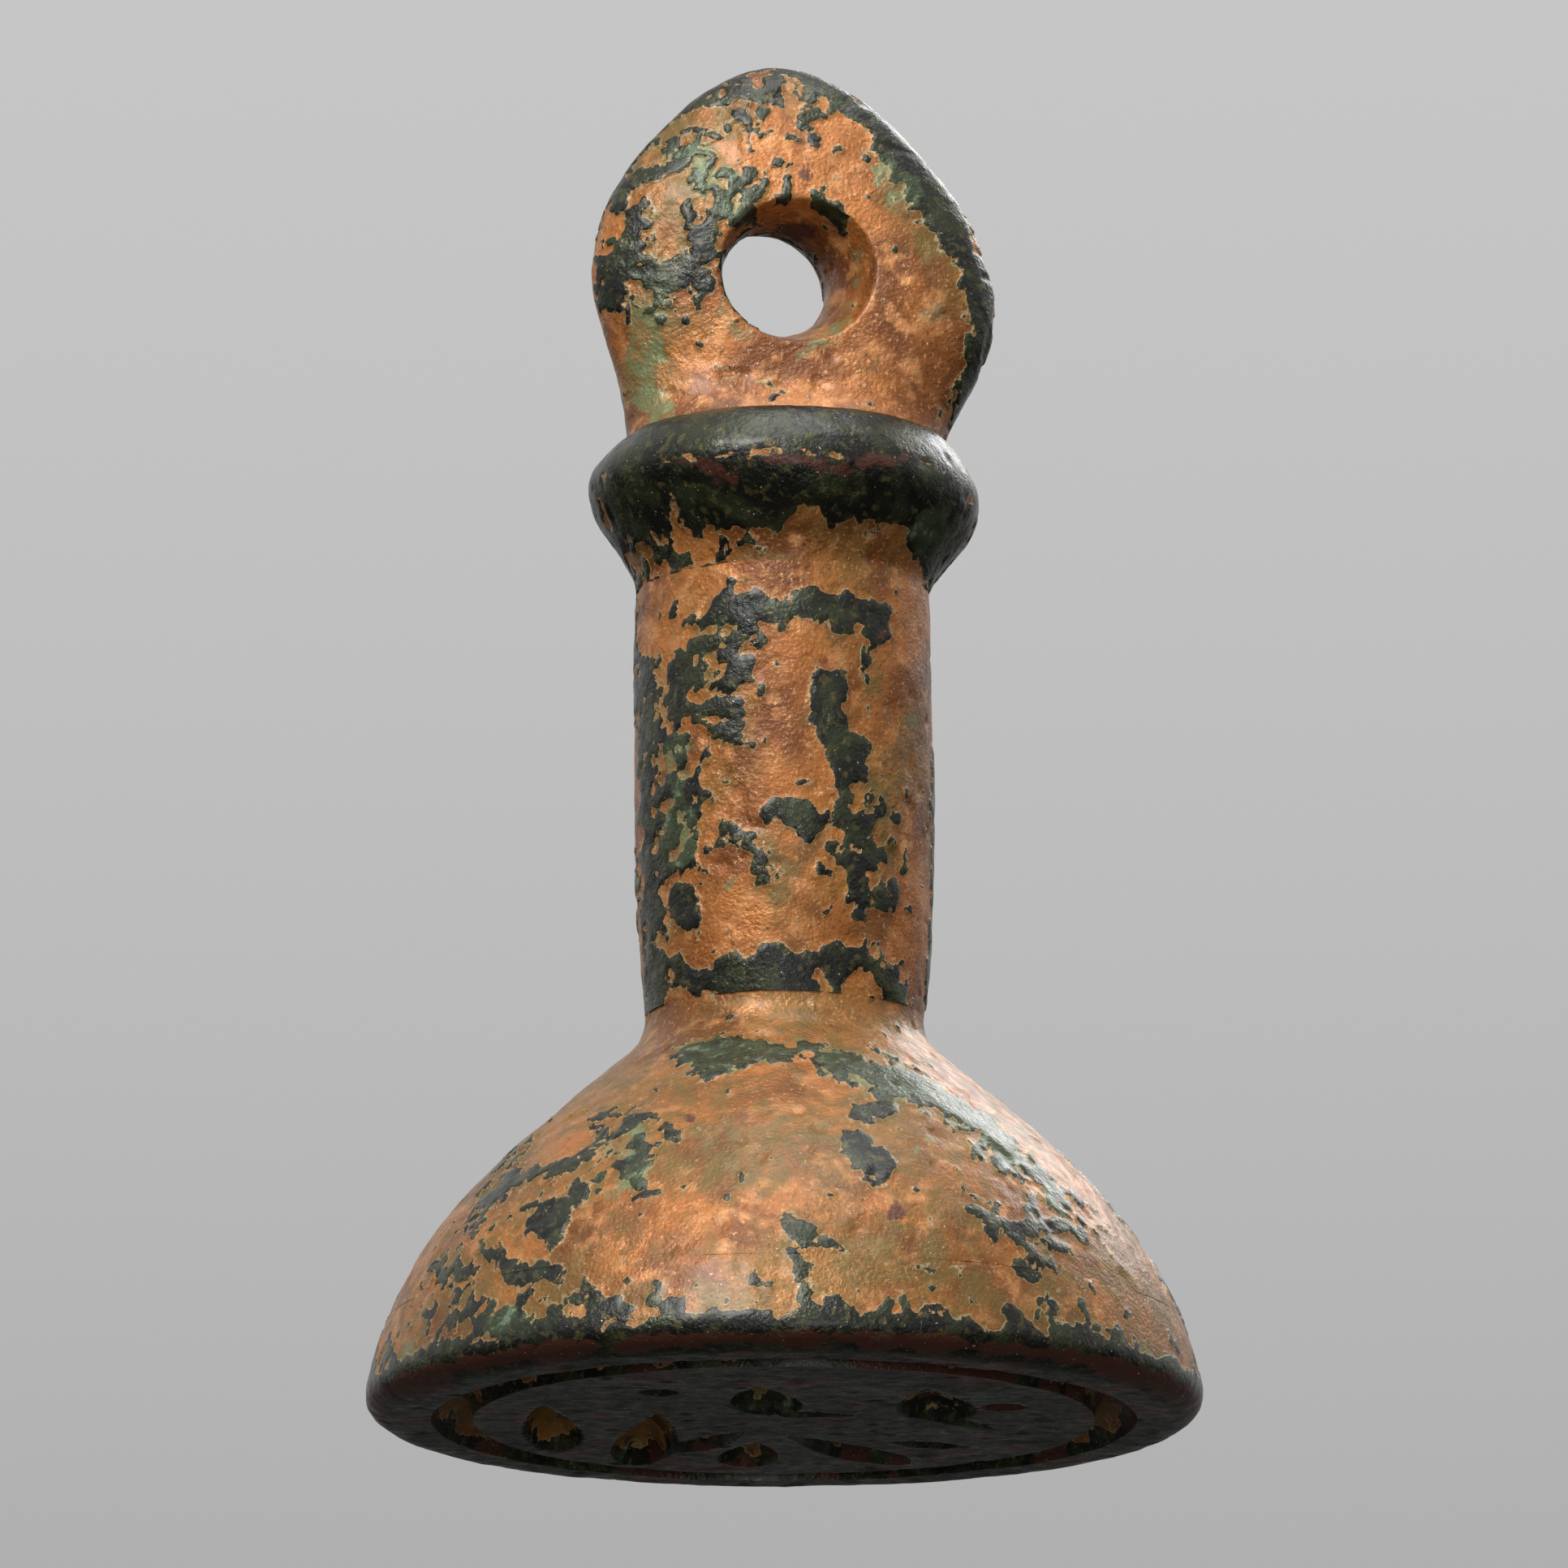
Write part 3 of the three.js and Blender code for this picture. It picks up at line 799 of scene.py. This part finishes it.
def crust_colour(tree):
    """The crust: black with dark green clouds and crumbs of olive."""
    crust = over(tree, step(tree, grain(tree, 1.1), 0.42, 0.62, 0.0, 0.9), CRUST_BLACK, CRUST_GREEN)
    return over(tree, step(tree, grain(tree, 0.3, 6.0), 0.54, 0.66, 0.0, 0.6), crust, CRUST_OLIVE)


print("black of the crust in linear light", [round(c, 4) for c in CRUST_BLACK])

# %% [markdown]
# ## From layers to a material
# One attribute on the mesh carries the four layers. Noise is added to each before a step turns it into a
# mask, so the edges break up finer than the mesh does. Painting the colours themselves on the mesh would be
# simpler, but its edges would be as soft as the mesh is coarse. Values that are the same all over a skin are
# set on the shader's own sockets.

# %% Build the two materials
FILM_ROUGHNESS = 0.42
CRUST_ROUGHNESS = {"earthy_bronze": 0.42, "dark_patina_bronze": 0.32}
BUMP_DEPTH = 0.05
SHADER = {"Metallic": 0.3, "Specular IOR Level": 0.5, "Coat Weight": 0.18, "Coat Roughness": 0.25}


def patina_masks(tree):
    """Where stains, crust and its broken edge, partly a painted highlight, show from the painted layers and
    noise.
    """
    painted = add(tree, "Attribute", attribute_name="patina")
    parts = add(tree, "SeparateColor")
    feed(tree, parts.inputs[0], painted.outputs["Color"])
    ragged = step(tree, grain(tree, 0.32), 0.25, 0.75, -0.09, 0.09)
    cloudy = step(tree, grain(tree, 0.5), 0.25, 0.75, -0.16, 0.16)
    broken = step(tree, grain(tree, 0.7), 0.4, 0.6, 0.3, 0.9)
    edge = maths(tree, "ADD", parts.outputs[0], ragged)
    green = step(tree, maths(tree, "ADD", parts.outputs[1], cloudy), 0.44, 0.62)
    olive = step(tree, maths(tree, "ADD", parts.outputs[2], cloudy), 0.32, 0.8)
    red = maths(tree, "ADD", painted.outputs["Alpha"], ragged)
    outside, within = step(tree, edge, 0.44, 0.47), step(tree, edge, 0.485, 0.51, 0.7, 0.0)
    return {
        "crust": step(tree, edge, 0.48, 0.53),
        "green": maths(tree, "MULTIPLY", green, broken),
        "olive": maths(tree, "MULTIPLY", olive, broken),
        "red": step(tree, red, 0.46, 0.6, 0.0, 0.9),
        # the pale line at the crust's edge, partly a painted highlight on its raised rim
        "broken_edge_and_highlight": maths(tree, "MULTIPLY", outside, within),
    }


def patina_colour(tree, masks):
    """The colours laid over each other, with the film lowest and a few painted glints on top."""
    colour = over(tree, masks["olive"], film_colour(tree), OLIVE)
    colour = over(tree, masks["crust"], colour, crust_colour(tree))
    corrosion = over(tree, masks["crust"], GREEN_PALE, GREEN_DEEP)
    corrosion = over(tree, step(tree, grain(tree, 0.45), 0.56, 0.68, 0.0, 0.7), corrosion, TURQUOISE)
    colour = over(tree, masks["green"], colour, corrosion)
    colour = over(tree, masks["red"], colour, RED_BROWN)
    # the pale line at the crust's edge, partly a painted highlight on its raised rim
    colour = over(tree, masks["broken_edge_and_highlight"], colour, BROKEN_EDGE_AND_HIGHLIGHT)
    # painted glints: pale specks laid over every colour
    return over(tree, step(tree, grain(tree, 0.1), 0.69, 0.75, 0.0, 0.7), colour, PAINTED_GLINT)


def patina_sheen(tree, crust, crust_roughness):
    """The roughness of film and crust, a little uneven."""
    layered = step(tree, crust, 0, 1, FILM_ROUGHNESS, crust_roughness)
    return maths(tree, "ADD", layered, step(tree, grain(tree, 0.5), 0.3, 0.7, -0.07, 0.1))


def patina_bump(tree, crust):
    """Fine sand and small lumps, with the crust standing a little higher."""
    sand = maths(tree, "MULTIPLY", grain(tree, 0.13), 0.9)
    lumps = maths(tree, "MULTIPLY", grain(tree, 0.4), 0.7)
    height = maths(tree, "ADD", maths(tree, "ADD", sand, lumps), maths(tree, "MULTIPLY", crust, 0.4))
    bump = add(tree, "Bump")
    bump.inputs["Strength"].default_value = 1.0
    bump.inputs["Distance"].default_value = BUMP_DEPTH * MM
    feed(tree, bump.inputs["Height"], height)
    return bump.outputs[0]


def excavated_bronze(name):
    """Film, stains and crust laid over each other as the skin's patina layers say."""
    material = bpy.data.materials.new(name)
    material.use_nodes = True
    tree = material.node_tree
    tree.nodes.clear()
    masks = patina_masks(tree)
    skin = add(tree, "BsdfPrincipled")
    for socket, value in SHADER.items():
        skin.inputs[socket].default_value = value
    feed(tree, skin.inputs["Base Color"], patina_colour(tree, masks))
    feed(tree, skin.inputs["Roughness"], patina_sheen(tree, masks["crust"], CRUST_ROUGHNESS[name]))
    feed(tree, skin.inputs["Normal"], patina_bump(tree, masks["crust"]))
    feed(tree, add(tree, "OutputMaterial").inputs["Surface"], skin.outputs[0])
    return material


EARTHY = excavated_bronze("earthy_bronze")
DARK = excavated_bronze("dark_patina_bronze")
print("materials", EARTHY.name, "and", DARK.name, "with", len(EARTHY.node_tree.nodes), "nodes each")

# %% [markdown]
# ## Hanging a skin on its section
# The skin is moved out along its own directions by the unevenness and by the thickness of the crust. Near
# the planes where sections meet it keeps its height, so that they still stand on each other. Then it takes
# its colour layers, its material and its place in the table: it rides on the root body, replaces its solid
# and names its slot.

# %% Make a piece from a skin
CRUST_RISE = 0.06
CRUST_EDGE = (0.46, 0.54)
SEAM_REACH = 0.3
FREE_END = 1.0
SHARP = math.radians(65)


def moved_out(points, normals, crust, low, high, amount):
    """The skin's points after the relief, with the end planes at low and high kept level."""
    rise = amount * (unevenness(points) + CRUST_RISE * ease(crust, *CRUST_EDGE))
    out = points + rise[:, None] * normals
    room = np.minimum(points[:, 2] - low, high - points[:, 2])
    share = np.clip(room / SEAM_REACH, 0, 1)
    out[:, 2] = points[:, 2] + (out[:, 2] - points[:, 2]) * share
    return out


def dressed(node, slot_name, shape, layers, low, high, amount=1.0):
    """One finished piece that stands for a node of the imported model."""
    points, normals, faces = shape
    painted = np.clip(0.5 + layers / (2 * LAYER_REACH), 0, 1).astype(np.float32)
    places = moved_out(points, normals, painted[:, 0], low, high, amount)
    mesh = bpy.data.meshes.new(node + "_skin")
    mesh.from_pydata((places * MM).tolist(), [], faces)
    mesh.shade_smooth()
    mesh.set_sharp_from_angle(angle=SHARP)
    record = mesh.color_attributes.new(name="patina", type="FLOAT_COLOR", domain="POINT")
    record.data.foreach_set("color", painted.ravel())
    mesh.materials.append(EARTHY if slot_name == EARTHY.name else DARK)
    piece = bpy.data.objects.new(node + "_skin", mesh)
    bpy.context.scene.collection.objects.link(piece)
    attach(piece, "root")
    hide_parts(node)
    triangles = sum(len(face) - 2 for face in faces)
    share = float((painted[:, 0] > 0.5).mean())
    print(piece.name, triangles, "triangles,", round(100 * share), "% under crust")
    return piece


# %% [markdown]
# ## The head's two sections
# Crust and red oxide gather in a band along the worn rim, all the way round, so the band is given by height.
# Under the head the flat field is black, partly crust and partly painted shade, and the cuts show the khaki
# of the film as painted light on their walls.

# %% Dress the plate and the dome
HEAD_STEPS = 640
HEAD_COVER = (0.36, 0.6, 0.3, 0.8)
BAND_TOP = 0.95
BAND_SHARPNESS = 45
BAND_RAGGED = 14
BAND_FADE = 16
RIM_CRUMBS = {"size": 0.6, "seed": 76, "octaves": 3, "sharpness": 34, "rarity": 0.1}
HAZE_SIZE = 2.4
HAZE_SHARPNESS = 14
HAZE_LIFT = 3
RED_HEIGHT = 0.28
RED_HALF = 0.2
RED_SHARPNESS = 90


def head_layers(shape):
    """The head's patches, an olive haze, and the band along its rim that breaks into crumbs above."""
    points, normals = shape[:2]
    layers = layers_on(points, normals, HEAD_MARKS, HEAD_COVER)
    ragged = BAND_RAGGED * clouds(points, 0.9, 71, 3)
    height = points[:, 2]
    crumbs = patchy(points, **RIM_CRUMBS) - BAND_FADE * (height - BAND_TOP)
    band = np.maximum(BAND_SHARPNESS * (BAND_TOP - height) + ragged, crumbs)
    haze = HAZE_SHARPNESS * clouds(points, HAZE_SIZE, 77, 3) + HAZE_LIFT
    red = RED_SHARPNESS * (RED_HALF - np.abs(height - RED_HEIGHT)) + ragged
    for number, layer in ((0, band), (2, haze), (3, red)):
        layers[:, number] = np.maximum(layers[:, number], layer)
    return layers


FACING_DOWN = -0.99
FACE_RELIEF = 0.6
# the underside's field is painted black as crust and painted shade, and its cuts khaki as painted light
FIELD_CRUST_AND_SHADE = 20
CUT_BARES_AS_LIGHT = 40
CUT_OLIVE_AS_LIGHT = 30
OLIVE_START = 6
FIELD_GREEN = {"size": 1.6, "seed": 73, "octaves": 2, "sharpness": 40, "rarity": 0.45}
FIELD_RED = {"size": 1.2, "seed": 74, "octaves": 2, "sharpness": 50, "rarity": 0.4}


def plate_shape():
    """The plate with its device pressed up into its underside."""
    wall = evenly(between(head, 0, PLATE_TOP))
    points, normals, faces = turned(wall, HEAD_STEPS, under=under_outline())
    below = normals[:, 2] < FACING_DOWN
    points[below, 2] += carved(points[below, :2])
    return points, normals, faces


def plate_layers(shape):
    """The head's layers; on the underside a black ground of crust and painted shade, and khaki cuts as
    painted light.
    """
    points, normals = shape[:2]
    layers = head_layers(shape)
    below = normals[:, 2] < FACING_DOWN
    cut = points[:, 2]
    speckle = clouds(points, 0.7, 72, 2)
    under = [
        # black field as crust and painted shade, khaki cuts as painted light
        FIELD_CRUST_AND_SHADE - CUT_BARES_AS_LIGHT * cut + 16 * speckle,
        patchy(points, **FIELD_GREEN),
        CUT_OLIVE_AS_LIGHT * cut - OLIVE_START + 20 * speckle,
        patchy(points, **FIELD_RED),
    ]
    layers[below] = np.stack(under, 1)[below]
    return layers


plate = plate_shape()
dressed("sealing_face", "dark_patina_bronze", plate, plate_layers(plate), -FREE_END, PLATE_TOP, FACE_RELIEF)
dome = turned(evenly(between(head, PLATE_TOP, DOME_TOP)), HEAD_STEPS)
dressed("dome", "earthy_bronze", dome, head_layers(dome), PLATE_TOP, DOME_TOP)

# %% [markdown]
# ## The stalk and the collar
# The collar sits very slightly askew, as a hand-set ring of wax does. The tilt fades out at both ends, so
# the stalk below and the lug above stay where they are.

# %% Dress the stalk and the collar
STALK_STEPS = 256
COLLAR_STEPS = 320
STALK_COVER = (0.24, 0.55, 0.35, 0.8)
COLLAR_COVER = (-0.3, 0.45, 0.5, 0.6)
SHOULDER_SHARPNESS = 40
SHOULDER_RAGGED = 8


def collar_shape():
    """The ring with its upper shelf, tilted between its planes."""
    shelf = np.arange(COLLAR_SEAT_RADIUS - GRID, GRID, -GRID)
    shelf = np.stack([shelf, np.full(len(shelf), COLLAR_TOP)], 1)
    points, normals, faces = turned(evenly(collar_outline()), COLLAR_STEPS, shelf=shelf)
    share = (points[:, 2] - STALK_TOP) / (COLLAR_TOP - STALK_TOP)
    points[:, 2] -= points[:, 0] * math.tan(COLLAR_TILT) * np.sin(math.pi * share)
    return points, normals, faces


def collar_layers(shape):
    """The collar's patches, with its shoulder and its shelf dark all the way round."""
    points, normals = shape[:2]
    layers = layers_on(points, normals, COLLAR_MARKS, COLLAR_COVER)
    above_edge = points[:, 2] - STALK_TOP - COLLAR_EDGE_HEIGHT
    dark = SHOULDER_SHARPNESS * above_edge + SHOULDER_RAGGED * clouds(points, 0.6, 75, 2)
    layers[:, 0] = np.maximum(layers[:, 0], dark)
    return layers


stalk = turned(evenly(stalk_outline()), STALK_STEPS)
stalk_layers = layers_on(*stalk[:2], STALK_MARKS, STALK_COVER)
dressed("stalk", "earthy_bronze", stalk, stalk_layers, DOME_TOP, STALK_TOP)
collar = collar_shape()
dressed("collar", "dark_patina_bronze", collar, collar_layers(collar), STALK_TOP, COLLAR_TOP)

# %% [markdown]
# ## The lug
# The lug is a flat tongue with soft square edges and a crooked crown. A founder pinches it out of the wax,
# so its two sides differ, and each has its own line. Its thickness has a third line, and a stack of rounded
# rings follows all three. One extruded outline would be simpler, but its edges would be too square.

# %% Outline of the lug
LUG_HEIGHT = LUG_TOP - COLLAR_TOP
LUG_FOOT = 5.15
LUG_LEFT = {"reach": 6.3, "height": 5.7, "waist": 2.4}
LUG_RIGHT = {"reach": 6.83, "height": 4.4, "waist": 0.8}
LUG_CROWN_SHIFT = -0.3
LUG_HALF_THICKNESS = 2.4
LUG_FOOT_HALF_THICKNESS = 3.6
LUG_FOOT_FADE = 2.95
LUG_SQUARENESS = 2.7
SIDE_SHOULDER = 0.48
SIDE_CROWN = 0.36
THICKNESS_FOOT = 0.2
THICKNESS_WAIST = 0.6
THICKNESS_SHOULDER = 0.55
THICKNESS_CROWN = 0.64


def lug_side(reach, height, waist, crown):
    """One side's line from the foot, over its widest place, to the crown."""
    middle = (waist + height) / 2
    lower = bezier([(LUG_FOOT, 0), (LUG_FOOT, waist), (reach, middle), (reach, height)], 80)
    shoulder = height + SIDE_SHOULDER * (LUG_HEIGHT - height)
    upper = bezier([(reach, height), (reach, shoulder), (crown + SIDE_CROWN * reach, LUG_HEIGHT),
                    (crown, LUG_HEIGHT)], 240)
    return np.concatenate([lower, upper[1:]])


def lug_thickness():
    """Half the lug's thickness from its thick foot to its crown."""
    thick, thin, fade = LUG_FOOT_HALF_THICKNESS, LUG_HALF_THICKNESS, LUG_FOOT_FADE
    lower = bezier([(thick, 0), (thin, THICKNESS_FOOT * fade), (thin, THICKNESS_WAIST * fade),
                    (thin, fade)], 60)
    shoulder = fade + THICKNESS_SHOULDER * (LUG_HEIGHT - fade)
    upper = bezier([(thin, fade), (thin, shoulder), (THICKNESS_CROWN * thin, LUG_HEIGHT),
                    (0, LUG_HEIGHT)], 240)
    return np.concatenate([lower, upper[1:]])


lug_width = LUG_LEFT["reach"] + LUG_RIGHT["reach"]
print("lug is", round(lug_width, 2), "mm wide and", round(LUG_HEIGHT, 2), "mm tall")

# %% [markdown]
# ## The cord hole
# The hole runs a little aslant, and the cord has worn it wider at both mouths. Bending the rings round it
# would be laborious. Instead a waisted rod is cut out of the tongue as a boolean, and a fine voxel remesh
# then gives the whole skin even cells, which a boolean alone doesn't.

# %% Cut the hole and remesh the lug
LUG_RINGS = 90
LUG_STEPS = 144
LUG_GRID = 0.085
HOLE_RADIUS = 1.9
HOLE_MOUTH_RADIUS = 2.5
HOLE_CENTRE = (-0.4, 0.0, 37.65)
HOLE_YAW = math.radians(14)
CUTTER_REACH = 5.0
CUTTER_STEPS = 96
CUTTER_RINGS = 60
FOOT_SNAP = 0.7
LUG_COVER = (0.2, 0.5, 0.3, 0.8)


def lug_blank():
    """The tongue without its hole."""
    levels = LUG_HEIGHT * np.sin(np.linspace(0, math.pi / 2, LUG_RINGS))[:-1]
    lines = [lug_side(crown=-LUG_CROWN_SHIFT, **LUG_LEFT), lug_side(crown=LUG_CROWN_SHIFT, **LUG_RIGHT),
             lug_thickness()]
    left, right, thick = (np.interp(levels, line[:, 1], line[:, 0])[:, None] for line in lines)
    turn = np.arange(LUG_STEPS) * 2 * math.pi / LUG_STEPS
    power = 2 / LUG_SQUARENESS
    across = np.sign(np.cos(turn)) * np.abs(np.cos(turn)) ** power
    deep = np.sign(np.sin(turn)) * np.abs(np.sin(turn)) ** power
    x = (right - left) / 2 + (right + left) / 2 * across
    z = np.broadcast_to(COLLAR_TOP + levels[:, None], x.shape)
    rings = np.stack([x, thick * deep, z], -1)
    return stitched(rings, (0, 0, COLLAR_TOP), (LUG_CROWN_SHIFT, 0, LUG_TOP))


def hole_cutter():
    """A waisted rod along the cord's way through the lug."""
    way = np.array([-math.sin(HOLE_YAW), math.cos(HOLE_YAW), 0])
    up = np.array([0.0, 0.0, 1.0])
    aside = np.cross(way, up)
    flare = math.sqrt(HOLE_MOUTH_RADIUS ** 2 - HOLE_RADIUS ** 2) / LUG_HALF_THICKNESS
    turn = np.arange(CUTTER_STEPS) * 2 * math.pi / CUTTER_STEPS
    circle = np.cos(turn)[:, None] * up + np.sin(turn)[:, None] * aside
    places = np.linspace(-CUTTER_REACH, CUTTER_REACH, CUTTER_RINGS)
    middles = np.array(HOLE_CENTRE) + places[:, None] * way
    rings = middles[:, None] + np.hypot(HOLE_RADIUS, flare * places)[:, None, None] * circle[None]
    return stitched(rings, middles[0], middles[-1])


def rough_object(name, points, faces):
    """A helper object with one unit for each millimetre, which the remesh works on."""
    mesh = bpy.data.meshes.new(name)
    mesh.from_pydata(points.tolist(), [], faces)
    thing = bpy.data.objects.new(name, mesh)
    bpy.context.scene.collection.objects.link(thing)
    return thing


def lug_shape():
    """Points, surface directions and faces of the pierced lug."""
    blank = rough_object("lug_blank", *lug_blank())
    cutter = rough_object("lug_cutter", *hole_cutter())
    hole = blank.modifiers.new("hole", "BOOLEAN")
    hole.operation = "DIFFERENCE"
    hole.solver = "EXACT"
    hole.object = cutter
    cells = blank.modifiers.new("cells", "REMESH")
    cells.mode = "VOXEL"
    cells.voxel_size = LUG_GRID
    bpy.context.view_layer.update()
    mesh = bpy.data.meshes.new_from_object(blank.evaluated_get(bpy.context.evaluated_depsgraph_get()))
    points = np.empty(3 * len(mesh.vertices), np.float32)
    normals = np.empty(3 * len(mesh.vertices), np.float32)
    mesh.vertices.foreach_get("co", points)
    mesh.vertices.foreach_get("normal", normals)
    faces = [tuple(face.vertices) for face in mesh.polygons]
    for thing in (blank, cutter):
        bpy.data.objects.remove(thing, do_unlink=True)
    points, normals = points.reshape(-1, 3).astype(float), normals.reshape(-1, 3).astype(float)
    # the remesh leaves the foot's rim a little above the plane that it stands on
    points[points[:, 2] < COLLAR_TOP + FOOT_SNAP * LUG_GRID, 2] = COLLAR_TOP
    return points, normals, faces


lug = lug_shape()
print("lug skin from", np.round(lug[0].min(0), 2), "to", np.round(lug[0].max(0), 2))
lug_layers = layers_on(*lug[:2], LUG_MARKS, LUG_COVER)
dressed("suspension_lug", "earthy_bronze", lug, lug_layers, COLLAR_TOP, LUG_TOP + FREE_END)

# %% [markdown]
# ## The floor
# The seal stands on a plain pale floor. The photograph was taken from below the face, so the floor shows
# only from above: seen from below it lets the view and the light through. Light Path's camera ray and the
# geometry's back side decide that. Two scenes, with and without a floor, would be more to look after.

# %% Add the floor
FLOOR_HALF = 1.5
FLOOR_HEIGHT = -0.0001
FLOOR_COLOUR = tint(188, 186, 182)


def floor_material():
    """Pale and matt from above, clear from below and for every ray but the camera's."""
    material = bpy.data.materials.new("pale_floor")
    material.use_nodes = True
    tree = material.node_tree
    tree.nodes.clear()
    from_above = maths(tree, "SUBTRACT", 1.0, add(tree, "NewGeometry").outputs["Backfacing"])
    shown = maths(tree, "MULTIPLY", from_above, add(tree, "LightPath").outputs["Is Camera Ray"])
    matt = add(tree, "BsdfDiffuse")
    matt.inputs["Color"].default_value = FLOOR_COLOUR
    mixed = add(tree, "MixShader")
    feed(tree, mixed.inputs[0], shown)
    feed(tree, mixed.inputs[1], add(tree, "BsdfTransparent").outputs[0])
    feed(tree, mixed.inputs[2], matt.outputs[0])
    feed(tree, add(tree, "OutputMaterial").inputs["Surface"], mixed.outputs[0])
    return material


def add_floor():
    """One large square under the seal."""
    corners = [(-FLOOR_HALF, -FLOOR_HALF), (FLOOR_HALF, -FLOOR_HALF), (FLOOR_HALF, FLOOR_HALF),
               (-FLOOR_HALF, FLOOR_HALF)]
    mesh = bpy.data.meshes.new("floor")
    mesh.from_pydata([corner + (FLOOR_HEIGHT,) for corner in corners], [], [(0, 1, 2, 3)])
    mesh.materials.append(floor_material())
    floor = bpy.data.objects.new("floor", mesh)
    bpy.context.scene.collection.objects.link(floor)
    return floor


print("floor of", 2 * FLOOR_HALF, "m at", add_floor().data.vertices[0].co.z, "m")

# %% [markdown]
# ## The world's light
# A studio wraps a small object in soft light from all round. A plain gradient is enough for that, stronger
# from above than from below. The camera, gloss and glass see a second gradient, pale above and dark below,
# so that the background is light while the underside reflects little.

# %% Light the world
WORLD_LOW = -0.2
WORLD_HIGH = 0.35
LIGHT_BELOW = 0.2
LIGHT_ABOVE = 0.34
SEEN_BELOW = 0.04
SEEN_ABOVE = 0.58


def add_world():
    """Soft light from the sky half, and a pale background for the camera, gloss and glass."""
    world = bpy.data.worlds.new("studio")
    bpy.context.scene.world = world
    world.use_nodes = True
    tree = world.node_tree
    tree.nodes.clear()
    split = add(tree, "SeparateXYZ")
    feed(tree, split.inputs[0], add(tree, "TexCoord").outputs["Generated"])
    path = add(tree, "LightPath").outputs
    shown = maths(tree, "MAXIMUM", path["Is Camera Ray"], path["Is Glossy Ray"])
    shown = maths(tree, "MAXIMUM", shown, path["Is Transmission Ray"])
    lights = []
    for low, high in ((LIGHT_BELOW, LIGHT_ABOVE), (SEEN_BELOW, SEEN_ABOVE)):
        light = add(tree, "Background")
        light.inputs["Color"].default_value = (1, 1, 1, 1)
        strength = step(tree, split.outputs["Z"], WORLD_LOW, WORLD_HIGH, low, high)
        feed(tree, light.inputs["Strength"], strength)
        lights.append(light.outputs[0])
    mixed = add(tree, "MixShader")
    feed(tree, mixed.inputs[0], shown)
    feed(tree, mixed.inputs[1], lights[0])
    feed(tree, mixed.inputs[2], lights[1])
    feed(tree, add(tree, "OutputWorld").inputs["Surface"], mixed.outputs[0])


add_world()
print("world light from", LIGHT_BELOW, "to", LIGHT_ABOVE)

# %% [markdown]
# ## Lamps
# The photograph's main light comes from the upper left and leaves one soft highlight low on the dome. A wide
# lamp overhead picks out the collar's shoulder, a weak one low in front reaches into the cuts of the face,
# and a soft one behind keeps the back from going flat.

# %% Hang the lamps
AIM = Vector((0, 0, 0.018))
LAMPS = {
    "key": {"azimuth": -22, "elevation": 38, "distance": 0.42, "size": 0.14, "power": 1.3},
    "overhead": {"azimuth": 20, "elevation": 80, "distance": 0.36, "size": 0.2, "power": 0.45},
    "low_front": {"azimuth": 8, "elevation": -9, "distance": 0.34, "size": 0.08, "power": 0.14},
    "behind": {"azimuth": 150, "elevation": 38, "distance": 0.42, "size": 0.2, "power": 0.5},
}


def add_lamp(name, azimuth, elevation, distance, size, power):
    """A round area lamp that looks at the seal. Azimuth 0 is in front and grows to the right."""
    light = bpy.data.lights.new(name, "AREA")
    light.shape = "DISK"
    light.size = size
    light.energy = power
    lamp = bpy.data.objects.new(name, light)
    flat = math.cos(math.radians(elevation))
    turn = math.radians(azimuth)
    away = Vector((math.sin(turn) * flat, -math.cos(turn) * flat, math.sin(math.radians(elevation))))
    lamp.location = AIM + distance * away
    lamp.rotation_euler = (-away).to_track_quat("-Z", "Y").to_euler()
    lamp.visible_camera = False
    bpy.context.scene.collection.objects.link(lamp)


for lamp_name, values in LAMPS.items():
    add_lamp(lamp_name, **values)
bpy.context.scene.view_settings.view_transform = "Standard"
print(len(LAMPS), "lamps")
